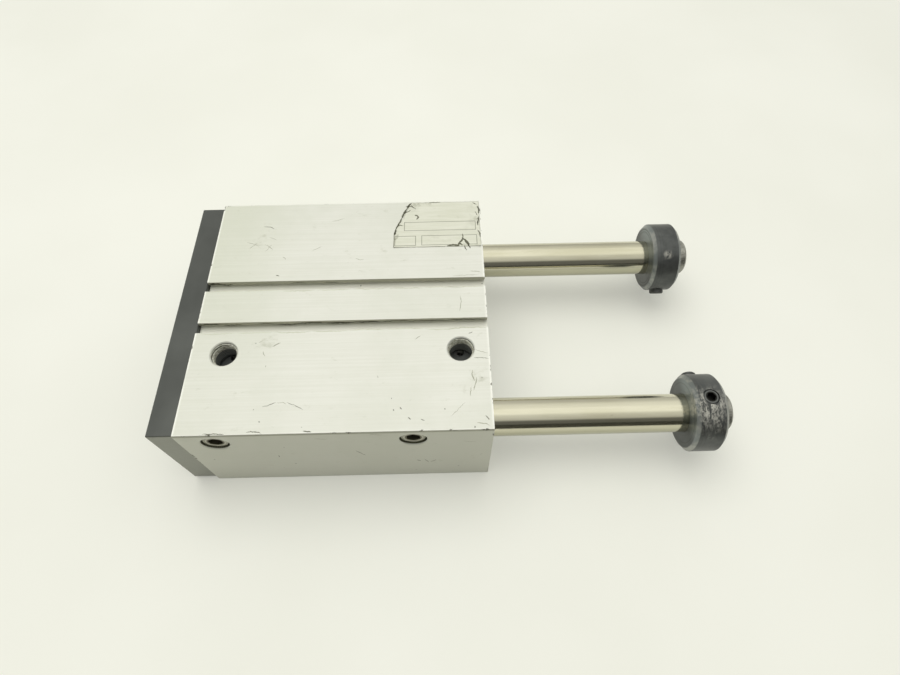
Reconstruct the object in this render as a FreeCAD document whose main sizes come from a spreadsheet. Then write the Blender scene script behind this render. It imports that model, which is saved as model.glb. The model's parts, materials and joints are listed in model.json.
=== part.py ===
import FreeCAD, Part
import math
import os
import re
import Sketcher

# Guided pneumatic cylinder: an extruded body with a piston, two guide rods through it, a tool plate on the
# front ends of the rods and a stop collar near each rear end.
#
# Frame: X runs along the rods, with the tool plate at -X. Z is up. The origin is the centre of the body's
# underside. Millimetres throughout.

# Driving dimensions: alias, size, meaning.
DIMENSIONS = [
    ("stroke", 100.0, "travel of the tool plate"),
    ("body_width", 142.0, "width of the extruded body"),
    ("body_height", 64.0, "height of the extruded body"),
    ("body_edge_radius", 0.8, "rounding of the body's long edges"),
    ("bore_diameter", 50.0, "cylinder bore"),
    ("rod_diameter", 20.0, "piston rod"),
    ("guide_diameter", 20.0, "guide rods"),
    ("guide_setback", 19.5, "guide rods from the sides of the body"),
    ("running_clearance", 0.03, "radial clearance of what slides"),
    ("seat_clearance", 0.02, "radial clearance of what is seated"),
    # sensor grooves
    ("groove_offset", 12.8, "middle of each sensor groove from the body's middle"),
    ("groove_mouth", 5.9, "width of a groove's mouth"),
    ("groove_lip", 2.4, "thickness of the lips beside the mouth"),
    ("groove_foot", 8.6, "width of a groove below its lips"),
    ("groove_depth", 4.6, "depth of a groove"),
    # air ports
    ("port_diameter", 13.2, "outer diameter of the port thread"),
    ("port_chamfer", 0.5, "chamfer of the port mouths"),
    ("front_port_setback", 16.5, "front ports from the body's front face"),
    ("top_port_setback", 14.2, "rear top port from the body's rear face"),
    ("side_port_setback", 38.0, "rear side port from the body's rear face"),
    ("top_port_offset", 28.0, "top ports from the body's middle"),
    ("top_port_depth", 14.0, "depth of the top ports"),
    ("side_port_drop", 10.4, "side ports below the top face"),
    ("side_port_depth", 10.0, "depth of the side ports"),
    ("passage_diameter", 4.0, "drilled air passages"),
    ("passage_offset", 22.6, "drop passages from the body's middle"),
    ("gallery_ball_diameter", 4.4, "ball that closes the gallery"),
    ("gallery_ball_setback", 3.2, "middle of the ball from the rear face"),
    # pipe plugs in the side ports
    ("plug_length", 7.5, "length of a pipe plug"),
    ("plug_recess", 1.1, "plug's face below the side face"),
    ("plug_chamfer", 0.8, "chamfer of a plug's face"),
    ("plug_hex", 6.4, "hex socket of a plug, across flats"),
    ("plug_hex_depth", 5.0, "depth of a plug's socket"),
    # heads of the cylinder bore
    ("ring_setback", 1.2, "retaining rings from the faces of the body"),
    ("bore_ring_thickness", 2.0, "retaining rings of the cylinder bore"),
    ("guide_ring_thickness", 1.3, "retaining rings of the guide bushes"),
    ("ring_groove_play", 0.1, "ring groove's width over the ring, on the outer side"),
    ("bore_ring_depth", 1.5, "depth of the bore's ring grooves"),
    ("guide_ring_depth", 0.9, "depth of the bushes' ring grooves"),
    ("gland_length", 10.0, "length of the front gland"),
    ("cap_length", 8.3, "length of the rear cap"),
    ("cap_recess_diameter", 24.0, "turned recess in the rear cap"),
    ("cap_recess_depth", 3.0, "depth of the recess in the rear cap"),
    ("seal_pocket_diameter", 28.0, "pocket of the rod seal"),
    ("seal_pocket_depth", 4.8, "depth of the pocket of the rod seal"),
    ("gland_bush_diameter", 23.0, "outside of the bush in the gland"),
    ("o_ring_width", 2.2, "width of the squeezed O-rings of the gland and the cap"),
    ("o_ring_groove_width", 2.6, "width of the O-ring grooves"),
    ("o_ring_groove_depth", 2.0, "depth of the O-ring grooves"),
    ("end_gap", 0.3, "gap between the piston's cushions and the heads"),
    # guide bushes
    ("bush_diameter", 32.0, "outside of the guide bushes"),
    ("bush_seat_length", 42.0, "depth of the bushes' seats"),
    ("bush_groove_depth", 0.8, "grease groove inside a bush"),
    ("bush_groove_width", 6.0, "width of the grease groove"),
    ("wiper_length", 4.0, "length of a guide wiper"),
    ("guide_relief_diameter", 24.0, "hole between the bush seats"),
    # piston
    ("piston_length", 22.7, "length over the piston's cushions"),
    ("cushion_thickness", 1.5, "rubber cushions"),
    ("cushion_outer", 38.0, "outside of the cushions"),
    ("cushion_inner", 25.0, "inside of the cushions"),
    ("piston_play", 0.1, "radial play of the piston's lands"),
    ("shoulder_length", 2.0, "reduced ends of the piston"),
    ("shoulder_drop", 3.0, "radial step at the reduced ends"),
    ("wear_ring_width", 3.0, "width of the wear ring"),
    ("wear_ring_depth", 2.0, "depth of the wear ring's groove"),
    ("piston_seal_width", 3.8, "width of the piston seal"),
    ("piston_seal_depth", 5.0, "depth of the piston seal's groove"),
    ("magnet_width", 3.2, "width of the magnet ring"),
    ("magnet_depth", 5.0, "depth of the magnet's seat"),
    ("magnet_drop", 0.6, "magnet's outside below the piston's lands"),
    ("spigot_diameter", 12.0, "rear spigot of the piston rod"),
    ("nut_pocket_diameter", 21.0, "counterbore for the piston nut"),
    ("nut_pocket_depth", 4.0, "depth of the nut's counterbore"),
    ("nut_hex", 17.0, "piston nut, across flats"),
    ("nut_thickness", 3.6, "thickness of the piston nut"),
    # tool plate
    ("plate_thickness", 13.0, "thickness of the tool plate"),
    ("plate_side_inset", 1.0, "tool plate inside the body's sides"),
    ("plate_top_inset", 2.0, "tool plate inside the body's top and underside"),
    ("plate_gap", 0.2, "gap between the plate and the body when retracted"),
    ("plate_bevel", 0.4, "broken edges of the tool plate"),
    ("plate_hole_spacing_y", 112.0, "tapped holes of the plate, across"),
    ("plate_hole_spacing_z", 40.0, "tapped holes of the plate, upwards"),
    ("plate_dowel_spacing", 66.0, "dowel holes of the plate"),
    # fixing holes
    ("tapped_diameter", 8.0, "outer diameter of the fixing threads"),
    ("base_hole_depth", 14.0, "depth of the tapped holes in the base"),
    ("base_hole_spacing_x", 100.0, "tapped holes of the base, along the rods"),
    ("base_hole_spacing_y", 66.0, "tapped holes of the base, across"),
    ("dowel_diameter", 5.0, "dowel holes"),
    ("dowel_depth", 8.0, "depth of the dowel holes"),
    # cap screws of the plate
    ("screw_diameter", 8.0, "cap screws"),
    ("screw_length", 20.0, "length of the cap screws"),
    ("screw_head_diameter", 13.0, "heads of the cap screws"),
    ("screw_hex", 6.0, "hex sockets of the cap screws"),
    ("screw_hex_depth", 4.0, "depth of the hex sockets"),
    ("counterbore_diameter", 14.5, "counterbores of the plate"),
    ("counterbore_depth", 8.6, "depth of the counterbores"),
    ("screw_hole_diameter", 9.0, "clearance holes of the plate"),
    ("screw_play", 0.05, "radial play of a screw in its thread"),
    ("rod_tap_depth", 20.0, "depth of the tapped holes in the rods' front ends"),
    # stop collars
    ("rod_end_chamfer", 1.0, "chamfer of the guide rods' ends"),
    ("near_collar_gap", 1.4, "near collar from the body at full stroke"),
    ("far_collar_gap", 1.0, "far collar from the body at full stroke"),
    ("collar_length", 16.0, "length of a stop collar"),
    ("collar_diameter", 40.0, "outside of a stop collar"),
    ("collar_chamfer", 1.8, "chamfer of the collars' outer edges"),
    ("rod_tail", 6.6, "near rod beyond its collar"),
    ("set_screw_diameter", 8.0, "set screws of the collars"),
    ("set_screw_length", 9.7, "length of a flush set screw"),
    ("proud_screw_length", 12.3, "length of a set screw that stands proud"),
    ("set_screw_hex", 4.0, "hex sockets of the set screws"),
    ("set_screw_hex_depth", 3.0, "depth of the set screws' sockets"),
    ("set_screw_chamfer", 0.6, "chamfer of the set screws' ends"),
    ("far_collar_turn", 215.0, "turn of the far collar about its rod, in degrees"),
]

SHEET = "Dimensions"
ALIASES = {alias for alias, size, meaning in DIMENSIONS}
OUT = "parts"
NEAR, FAR = -1, 1

# Lengths that follow from the driving dimensions, as formulas. Positions along X count from the body's
# front face.
AXIS = "(body_height/2)"
GUIDE_Y = "(body_width/2 - guide_setback)"
SIDE_PORT_Z = "(body_height - side_port_drop)"
GLAND_FRONT = "(ring_setback + bore_ring_thickness)"
GLAND_REAR = f"({GLAND_FRONT} + gland_length)"
CAP_FRONT = f"({GLAND_REAR} + end_gap + stroke + piston_length + end_gap)"
CAP_REAR = f"({CAP_FRONT} + cap_length)"
BODY_LENGTH = f"({CAP_REAR} + bore_ring_thickness + ring_setback)"
BODY_FRONT = f"(-{BODY_LENGTH}/2)"
PISTON_FRONT = f"({CAP_FRONT} - end_gap - piston_length)"
PLATE_BACK = "(-plate_gap)"
NEAR_COLLAR = f"({BODY_LENGTH} + stroke + near_collar_gap)"
FAR_COLLAR = f"({BODY_LENGTH} + stroke + far_collar_gap)"
GUIDE_END = f"({NEAR_COLLAR} + collar_length + rod_tail)"
FRONT_PORT_X = "front_port_setback"
REAR_PORT_X = f"({BODY_LENGTH} - top_port_setback)"
REAR_SIDE_PORT_X = f"({BODY_LENGTH} - side_port_setback)"

doc = FreeCAD.newDocument("GuidedCylinder")
sheet = doc.addObject("Spreadsheet::Sheet", SHEET)
for row, (alias, size, meaning) in enumerate(DIMENSIONS, start=1):
    sheet.set(f"A{row}", meaning)
    sheet.set(f"B{row}", str(size))
    sheet.setAlias(f"B{row}", alias)
doc.recompute()

nodes = []


# ---------------------------------------------------------------- formulas and sketches

def link(formula):
    """Turn a formula of dimension names into an expression that reads the sheet."""
    def read(word):
        return f"{SHEET}.{word.group()}" if word.group() in ALIASES else word.group()
    return re.sub(r"[A-Za-z_]\w*", read, str(formula))


def size_of(formula):
    """The present value of a formula."""
    return float(sheet.evalExpression(link(formula)))


def bind(item, path, formula):
    """Let a property follow a formula."""
    item.setExpression(path, link(formula))


def new_body(name):
    """A body whose label is the name of its node."""
    body = doc.addObject("PartDesign::Body", name)
    body.Label = name
    return body


def new_sketch(body, role, name, distance="0", lift="0"):
    """A sketch on one of the body's own planes, moved along its normal and upwards."""
    sketch = body.newObject("Sketcher::SketchObject", name)
    plane = next(item for item in body.Origin.OriginFeatures if item.Role == role)
    sketch.AttachmentSupport = (plane, [""])
    sketch.MapMode = "FlatFace"
    bind(sketch, "AttachmentOffset.Base.z", distance)
    bind(sketch, "AttachmentOffset.Base.y", lift)
    return sketch


def pin_point(sketch, geometry, corner, u, v):
    """Hold a point of a sketch at the formulas u, v from the sketch's origin."""
    for kind, formula in (("DistanceX", u), ("DistanceY", v)):
        held = Sketcher.Constraint(kind, -1, 1, geometry, corner, size_of(formula))
        number = sketch.addConstraint(held)
        bind(sketch, f"Constraints[{number}]", formula)


def draw_outline(sketch, corners):
    """A closed outline of straight lines through the corners, each held by its formulas."""
    points = [FreeCAD.Vector(size_of(u), size_of(v), 0) for u, v in corners]
    first = sketch.GeometryCount
    lines = [Part.LineSegment(a, b) for a, b in zip(points, points[1:] + points[:1])]
    sketch.addGeometry(lines, False)
    count = len(corners)
    for index in range(count):
        after = first + (index + 1) % count
        sketch.addConstraint(Sketcher.Constraint("Coincident", first + index, 2, after, 1))
    for index, (u, v) in enumerate(corners):
        pin_point(sketch, first + index, 1, u, v)


def draw_circle(sketch, u, v, diameter):
    """A circle with its middle and its diameter held by formulas."""
    middle = FreeCAD.Vector(size_of(u), size_of(v), 0)
    circle = Part.Circle(middle, FreeCAD.Vector(0, 0, 1), size_of(diameter) / 2)
    index = sketch.addGeometry(circle, False)
    pin_point(sketch, index, 3, u, v)
    number = sketch.addConstraint(Sketcher.Constraint("Diameter", index, size_of(diameter)))
    bind(sketch, f"Constraints[{number}]", diameter)


def hexagon(across_flats, turn=0):
    """Corner formulas of a hexagon about the sketch's origin."""
    corners = []
    for step in range(6):
        angle = math.radians(60 * step + turn)
        reach = 1 / math.sqrt(3)
        corners.append((f"{across_flats} * {reach * math.cos(angle):.6f}",
                        f"{across_flats} * {reach * math.sin(angle):.6f}"))
    return corners


# ---------------------------------------------------------------- solid features

def pad(body, sketch, length, name="Pad"):
    """Extrude a sketch along its normal."""
    feature = body.newObject("PartDesign::Pad", name)
    feature.Profile = sketch
    bind(feature, "Length", length)
    doc.recompute()
    return feature


def pocket(body, sketch, depth, reverse=False, name="Pocket"):
    """Cut a sketch into the body, and make sure that it cut something."""
    before = body.Shape.Volume
    feature = body.newObject("PartDesign::Pocket", name)
    feature.Profile = sketch
    feature.Reversed = reverse
    bind(feature, "Length", depth)
    doc.recompute()
    if body.Shape.Volume > before - 0.01:
        raise RuntimeError(f"{body.Label}: {name} cuts nothing")
    return feature


def revolve(body, sketch, kind="Revolution", name="Revolution"):
    """Turn a sketch about its own horizontal axis, to add or to cut."""
    feature = body.newObject(f"PartDesign::{kind}", name)
    feature.Profile = sketch
    feature.ReferenceAxis = (sketch, ["H_Axis"])
    feature.Angle = 360
    doc.recompute()
    return feature


def dress_edges(body, kind, wanted, size, name):
    """Fillet or chamfer the edges that wanted() picks."""
    tip = body.Tip
    edges = [f"Edge{i}" for i, edge in enumerate(body.Shape.Edges, start=1) if wanted(edge)]
    feature = body.newObject(f"PartDesign::{kind}", name)
    feature.Base = (tip, edges)
    bind(feature, "Radius" if kind == "Fillet" else "Size", size)
    doc.recompute()
    return feature


def drill(body, role, distance, circles, depth, reverse, name, lift="0"):
    """Round holes from a plane, each given as (u, v, diameter)."""
    sketch = new_sketch(body, role, f"{name}Sketch", distance, lift)
    for u, v, diameter in circles:
        draw_circle(sketch, u, v, diameter)
    return pocket(body, sketch, depth, reverse, name)


def sink_hexagon(body, distance, across_flats, depth, name="Socket", reverse=True):
    """A hex socket about the body's X axis, from the plane at the given distance."""
    sketch = new_sketch(body, "YZ_Plane", f"{name}Sketch", distance)
    draw_outline(sketch, hexagon(across_flats, 30))
    return pocket(body, sketch, depth, reverse, name)


def place(body, x, y="0", z=AXIS, axis=(0, 0, 1), angle="0"):
    """Put a finished body in the frame: x counts from the body's front face."""
    body.Placement.Rotation = FreeCAD.Rotation(FreeCAD.Vector(*axis), size_of(angle))
    bind(body, "Placement.Base.x", f"{BODY_FRONT} + {x}")
    bind(body, "Placement.Base.y", y)
    bind(body, "Placement.Base.z", z)
    nodes.append(body)
    return body


def turned(name, profile, x, y="0", z=AXIS):
    """A piece turned about an axis along X. The profile is a list of (x, radius) formulas."""
    body = new_body(name)
    sketch = new_sketch(body, "XZ_Plane", "ProfileSketch")
    draw_outline(sketch, profile)
    revolve(body, sketch)
    return place(body, x, y, z)


def ring_profile(inner, outer, length):
    """Profile of a plain ring, from the formulas of its radii and its length."""
    return [("0", inner), (length, inner), (length, outer), ("0", outer)]


# ---------------------------------------------------------------- the extruded body

def body_section():
    """Section of the extrusion: a rectangle with two T-shaped sensor grooves in its top."""
    half = "body_width/2"
    top = "body_height"
    lip = "(body_height - groove_lip)"
    foot = "(body_height - groove_depth)"
    corners = [(f"-{half}", "0"), (half, "0"), (half, top)]
    for middle in ("groove_offset", "-groove_offset"):
        mouth = "groove_mouth/2"
        wide = "groove_foot/2"
        corners += [(f"{middle} + {mouth}", top), (f"{middle} + {mouth}", lip),
                    (f"{middle} + {wide}", lip), (f"{middle} + {wide}", foot),
                    (f"{middle} - {wide}", foot), (f"{middle} - {wide}", lip),
                    (f"{middle} - {mouth}", lip), (f"{middle} - {mouth}", top)]
    return corners + [(f"-{half}", top)]


def bore_profile():
    """Cylinder bore with a groove for a retaining ring at each end."""
    bore = "bore_diameter/2"
    deep = f"({bore} + bore_ring_depth)"
    front = "(ring_setback - ring_groove_play)"
    rear = f"({BODY_LENGTH} - ring_setback + ring_groove_play)"
    return [("0", "0"), ("0", bore), (front, bore), (front, deep), (GLAND_FRONT, deep),
            (GLAND_FRONT, bore), (CAP_REAR, bore), (CAP_REAR, deep), (rear, deep), (rear, bore),
            (BODY_LENGTH, bore), (BODY_LENGTH, "0")]


def guide_profile():
    """Guide passage: a bush seat with a ring groove at each end and a wider hole between."""
    seat = "bush_diameter/2"
    deep = f"({seat} + guide_ring_depth)"
    relief = "guide_relief_diameter/2"
    ring_front = "(ring_setback - ring_groove_play)"
    ring_back = "(ring_setback + guide_ring_thickness)"
    front = [("0", seat), (ring_front, seat), (ring_front, deep), (ring_back, deep), (ring_back, seat),
             ("bush_seat_length", seat), ("bush_seat_length", relief)]
    rear = [(f"({BODY_LENGTH} - {x})", r) for x, r in reversed(front)]
    return [("0", "0")] + front + rear + [(BODY_LENGTH, "0")]


def make_body_block():
    body = new_body("body_block")
    section = new_sketch(body, "YZ_Plane", "SectionSketch")
    draw_outline(section, body_section())
    pad(body, section, BODY_LENGTH, "Extrusion")
    half_width = size_of("body_width/2")

    def long_outer_edge(edge):
        box = edge.BoundBox
        return box.XLength > 1 and abs(abs(box.YMin) - half_width) < 0.01 and box.YLength < 0.01

    dress_edges(body, "Fillet", long_outer_edge, "body_edge_radius", "LongEdges")

    bore = new_sketch(body, "XZ_Plane", "BoreSketch", "0", AXIS)
    draw_outline(bore, bore_profile())
    revolve(body, bore, "Groove", "Bore")

    guide = new_sketch(body, "XZ_Plane", "GuideSketch", GUIDE_Y, AXIS)
    draw_outline(guide, guide_profile())
    near_guide = revolve(body, guide, "Groove", "NearGuide")
    far_guide = body.newObject("PartDesign::Mirrored", "FarGuide")
    far_guide.Originals = [near_guide]
    middle = next(item for item in body.Origin.OriginFeatures if item.Role == "XZ_Plane")
    far_guide.MirrorPlane = (middle, [""])
    body.Tip = far_guide
    doc.recompute()

    # Air ports and the drillings that lead from them into the bore.
    top_ports = [(FRONT_PORT_X, "-top_port_offset", "port_diameter"),
                 (REAR_PORT_X, "-top_port_offset", "port_diameter")]
    drill(body, "XY_Plane", "body_height", top_ports, "top_port_depth", False, "TopPorts")
    side_ports = [(FRONT_PORT_X, SIDE_PORT_Z, "port_diameter"),
                  (REAR_SIDE_PORT_X, SIDE_PORT_Z, "port_diameter")]
    drill(body, "XZ_Plane", "body_width/2", side_ports, "side_port_depth", False, "SidePorts")
    mouth_radius = size_of("port_diameter/2")
    top = size_of("body_height")

    def port_mouth(edge):
        if not isinstance(edge.Curve, Part.Circle) or abs(edge.Curve.Radius - mouth_radius) > 0.01:
            return False
        middle = edge.Curve.Center
        return abs(middle.z - top) < 0.01 or abs(middle.y + half_width) < 0.01

    dress_edges(body, "Chamfer", port_mouth, "port_chamfer", "PortMouths")
    drops = [(FRONT_PORT_X, "-passage_offset", "passage_diameter"),
             (REAR_PORT_X, "-passage_offset", "passage_diameter")]
    drill(body, "XY_Plane", "(body_height - top_port_depth)", drops, "(passage_diameter * 2.5)", False,
          "Drops")
    crossings = [(FRONT_PORT_X, SIDE_PORT_Z, "passage_diameter"),
                 (REAR_SIDE_PORT_X, SIDE_PORT_Z, "passage_diameter")]
    drill(body, "XZ_Plane", "(body_width/2 - side_port_depth)", crossings,
          "(body_width/2 - side_port_depth - top_port_offset)", False, "Crossings")
    gallery = [("-top_port_offset", SIDE_PORT_Z, "passage_diameter")]
    drill(body, "YZ_Plane", BODY_LENGTH, gallery, "side_port_setback", False, "Gallery")
    ball_seat = [("-top_port_offset", SIDE_PORT_Z, "(gallery_ball_diameter + 2*seat_clearance)")]
    drill(body, "YZ_Plane", BODY_LENGTH, ball_seat, "(gallery_ball_setback + gallery_ball_diameter/2)",
          False, "BallSeat")

    # Tapped and dowel holes in the base, about the middle of the body.
    taps = []
    for along in ("-", "+"):
        for across in ("-", ""):
            taps.append((f"{BODY_LENGTH}/2 {along} base_hole_spacing_x/2",
                         f"{across}base_hole_spacing_y/2", "tapped_diameter"))
    drill(body, "XY_Plane", "0", taps, "base_hole_depth", True, "BaseTaps")
    dowels = [(f"{BODY_LENGTH}/2", f"{side}base_hole_spacing_y/2", "dowel_diameter") for side in ("-", "")]
    drill(body, "XY_Plane", "0", dowels, "dowel_depth", True, "BaseDowels")
    return place(body, "0", "0", "0")


# ---------------------------------------------------------------- heads of the cylinder bore

def o_ring_groove(start, outer):
    """Points of an O-ring groove in a head, from its start along X and the head's radius."""
    end = f"({start} + o_ring_groove_width)"
    bottom = f"({outer} - o_ring_groove_depth)"
    return [(start, outer), (start, bottom), (end, bottom), (end, outer)]


def make_o_ring(name, x):
    """An O-ring, squeezed flat between the bottom of a head's groove and the bore."""
    outer = "(bore_diameter/2 - seat_clearance)"
    inner = "(bore_diameter/2 - o_ring_groove_depth)"
    flat = "(o_ring_width/4)"
    side = "(o_ring_width/2)"
    quarter = "(o_ring_groove_depth/4)"
    section = [(f"-{flat}", inner), (flat, inner), (side, f"({inner} + {quarter})"),
               (side, f"({outer} - {quarter})"), (flat, outer), (f"-{flat}", outer),
               (f"-{side}", f"({outer} - {quarter})"), (f"-{side}", f"({inner} + {quarter})")]
    return turned(name, section, x)


def make_heads():
    outer = "(bore_diameter/2 - seat_clearance)"
    bush_seat = "(gland_bush_diameter/2 + seat_clearance)"
    pocket_radius = "seal_pocket_diameter/2"
    groove_start = "(gland_length/2 - o_ring_groove_width/2)"
    gland = [("0", outer), ("0", pocket_radius), ("seal_pocket_depth", pocket_radius),
             ("seal_pocket_depth", bush_seat), ("gland_length", bush_seat), ("gland_length", outer)]
    gland += list(reversed(o_ring_groove(groove_start, outer)))
    turned("front_gland", gland, GLAND_FRONT)
    make_o_ring("gland_o_ring", f"{GLAND_FRONT} + gland_length/2")
    bush_inner = "(rod_diameter/2 + running_clearance)"
    turned("gland_bush",
           ring_profile(bush_inner, "gland_bush_diameter/2", "(gland_length - seal_pocket_depth)"),
           f"{GLAND_FRONT} + seal_pocket_depth")
    # The rod seal has a lip towards the rod at each end and a channel between the lips.
    seal_outer = "(seal_pocket_diameter/2 - seat_clearance)"
    lip = "(rod_diameter/2 + running_clearance)"
    root = "(rod_diameter/2 + 1.2)"
    seal = [("0", seal_outer), ("0", f"({root} + 0.8)"), ("0.4", lip), ("1.3", lip), ("1.9", root),
            ("seal_pocket_depth - 2.1", root), ("seal_pocket_depth - 1.5", lip),
            ("seal_pocket_depth - 0.4", lip), ("seal_pocket_depth - 0.4", seal_outer)]
    turned("rod_seal", seal, f"{GLAND_FRONT} + 0.2")

    cap = [("0", "0"), ("0", outer)]
    cap += o_ring_groove("(cap_length/2 - o_ring_groove_width/2)", outer)
    cap += [("cap_length", outer), ("cap_length", "cap_recess_diameter/2"),
            ("(cap_length - cap_recess_depth)", "cap_recess_diameter/2"),
            ("(cap_length - cap_recess_depth)", "0")]
    turned("rear_cap", cap, CAP_FRONT)
    make_o_ring("rear_cap_o_ring", f"{CAP_FRONT} + cap_length/2")


def make_retaining_ring(name, bore, groove_depth, thickness, x, y="0"):
    """Internal retaining ring: an open ring with an eyelet at each side of its gap."""
    body = new_body(name)
    outer = f"({bore} + 2*{groove_depth} - 4*seat_clearance - 0.2)"
    inner = f"({bore} - 0.13*{bore})"
    flat = new_sketch(body, "YZ_Plane", "RingSketch")
    draw_circle(flat, "0", "0", outer)
    draw_circle(flat, "0", "0", inner)
    pad(body, flat, thickness, "Ring")
    eye = f"(0.105*{bore})"
    reach = f"({bore}/2 - {eye}/2 - 0.4)"
    turn = math.radians(17)
    ears = [(f"{side * math.sin(turn):.6f} * {reach}", f"-{math.cos(turn):.6f} * {reach}")
            for side in (-1, 1)]
    for number, (u, v) in enumerate(ears):
        ear = new_sketch(body, "YZ_Plane", f"EarSketch{number}")
        draw_circle(ear, u, v, eye)
        pad(body, ear, thickness, f"Ear{number}")
    half_gap = f"({bore}*0.075)"
    gap = new_sketch(body, "YZ_Plane", "GapSketch")
    draw_outline(gap, [(f"-{half_gap}", "0"), (half_gap, "0"), (half_gap, f"-{bore}"),
                       (f"-{half_gap}", f"-{bore}")])
    pocket(body, gap, thickness, True, "Gap")
    drill(body, "YZ_Plane", "0", [(u, v, f"({eye}*0.42)") for u, v in ears], thickness, True, "EarHoles")
    return place(body, x, y)


def make_bore_rings():
    for name, x in (("front_retaining_ring", "ring_setback"), ("rear_retaining_ring", CAP_REAR)):
        make_retaining_ring(name, "bore_diameter", "bore_ring_depth", "bore_ring_thickness", x)


# ---------------------------------------------------------------- guide bushes

def make_guides():
    rod = "(guide_diameter/2 + running_clearance)"
    seat = "(bush_diameter/2 - seat_clearance)"
    bush_start = "(ring_setback + guide_ring_thickness + wiper_length)"
    bush_length = f"(bush_seat_length - {bush_start})"
    middle = f"({bush_length}/2)"
    grease = f"({rod} + bush_groove_depth)"
    bush = [("0", rod), (f"({middle} - bush_groove_width/2)", rod),
            (f"({middle} - bush_groove_width/2)", grease), (f"({middle} + bush_groove_width/2)", grease),
            (f"({middle} + bush_groove_width/2)", rod), (bush_length, rod), (bush_length, seat),
            ("0", seat)]
    wiper = [("0", f"({rod} + 1.6)"), ("(wiper_length/2)", rod), ("wiper_length", rod),
             ("wiper_length", seat), ("0", seat)]
    for end in ("front", "rear"):
        for side, side_name in ((NEAR, "near"), (FAR, "far")):
            y = f"{side}*{GUIDE_Y}"
            spot = f"{end}_{side_name}"
            wiper_start = "(ring_setback + guide_ring_thickness)"
            if end == "front":
                turned(f"guide_bush_{spot}", bush, bush_start, y)
                turned(f"guide_wiper_{spot}", wiper, wiper_start, y)
                ring_x = "ring_setback"
            else:
                mirrored = [(f"(-{x})", r) for x, r in reversed(wiper)]
                turned(f"guide_bush_{spot}", bush, f"({BODY_LENGTH} - bush_seat_length)", y)
                turned(f"guide_wiper_{spot}", mirrored, f"({BODY_LENGTH} - {wiper_start})", y)
                ring_x = f"({BODY_LENGTH} - {wiper_start})"
            make_retaining_ring(f"guide_ring_{spot}", "bush_diameter", "guide_ring_depth",
                                "guide_ring_thickness", ring_x, y)


# ---------------------------------------------------------------- plugs of the body

def make_plugs():
    outer = "(port_diameter/2 - screw_play)"
    face = f"({outer} - plug_chamfer)"
    profile = [("0", "0"), ("0", face), ("plug_chamfer", outer),
               ("(plug_length - plug_chamfer)", outer), ("plug_length", face), ("plug_length", "0")]
    for name, x in (("side_port_plug_front", FRONT_PORT_X), ("side_port_plug_rear", REAR_SIDE_PORT_X)):
        body = new_body(name)
        sketch = new_sketch(body, "XZ_Plane", "ProfileSketch")
        draw_outline(sketch, profile)
        revolve(body, sketch)
        sink_hexagon(body, "0", "plug_hex", "plug_hex_depth")
        place(body, x, "(plug_recess - body_width/2)", SIDE_PORT_Z, (0, 0, 1), "90")
    ball = doc.addObject("Part::Sphere", "gallery_ball")
    ball.Label = "gallery_ball"
    bind(ball, "Radius", "gallery_ball_diameter/2")
    place(ball, f"{BODY_LENGTH} - gallery_ball_setback", "-top_port_offset", SIDE_PORT_Z)


# ---------------------------------------------------------------- piston and rod

LAND = ("((piston_length - 2*cushion_thickness - 2*shoulder_length - wear_ring_width"
        " - piston_seal_width - magnet_width)/4)")
PISTON_RADIUS = "(bore_diameter/2 - piston_play)"
SEAL_RADIUS = "(bore_diameter/2 - running_clearance)"
WEAR_START = f"(cushion_thickness + shoulder_length + {LAND})"
SEAL_START = f"({WEAR_START} + wear_ring_width + {LAND})"
SPLIT = f"({SEAL_START} + piston_seal_width + {LAND})"
MAGNET_END = f"({SPLIT} + magnet_width)"
PISTON_END = "(piston_length - cushion_thickness)"


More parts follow.
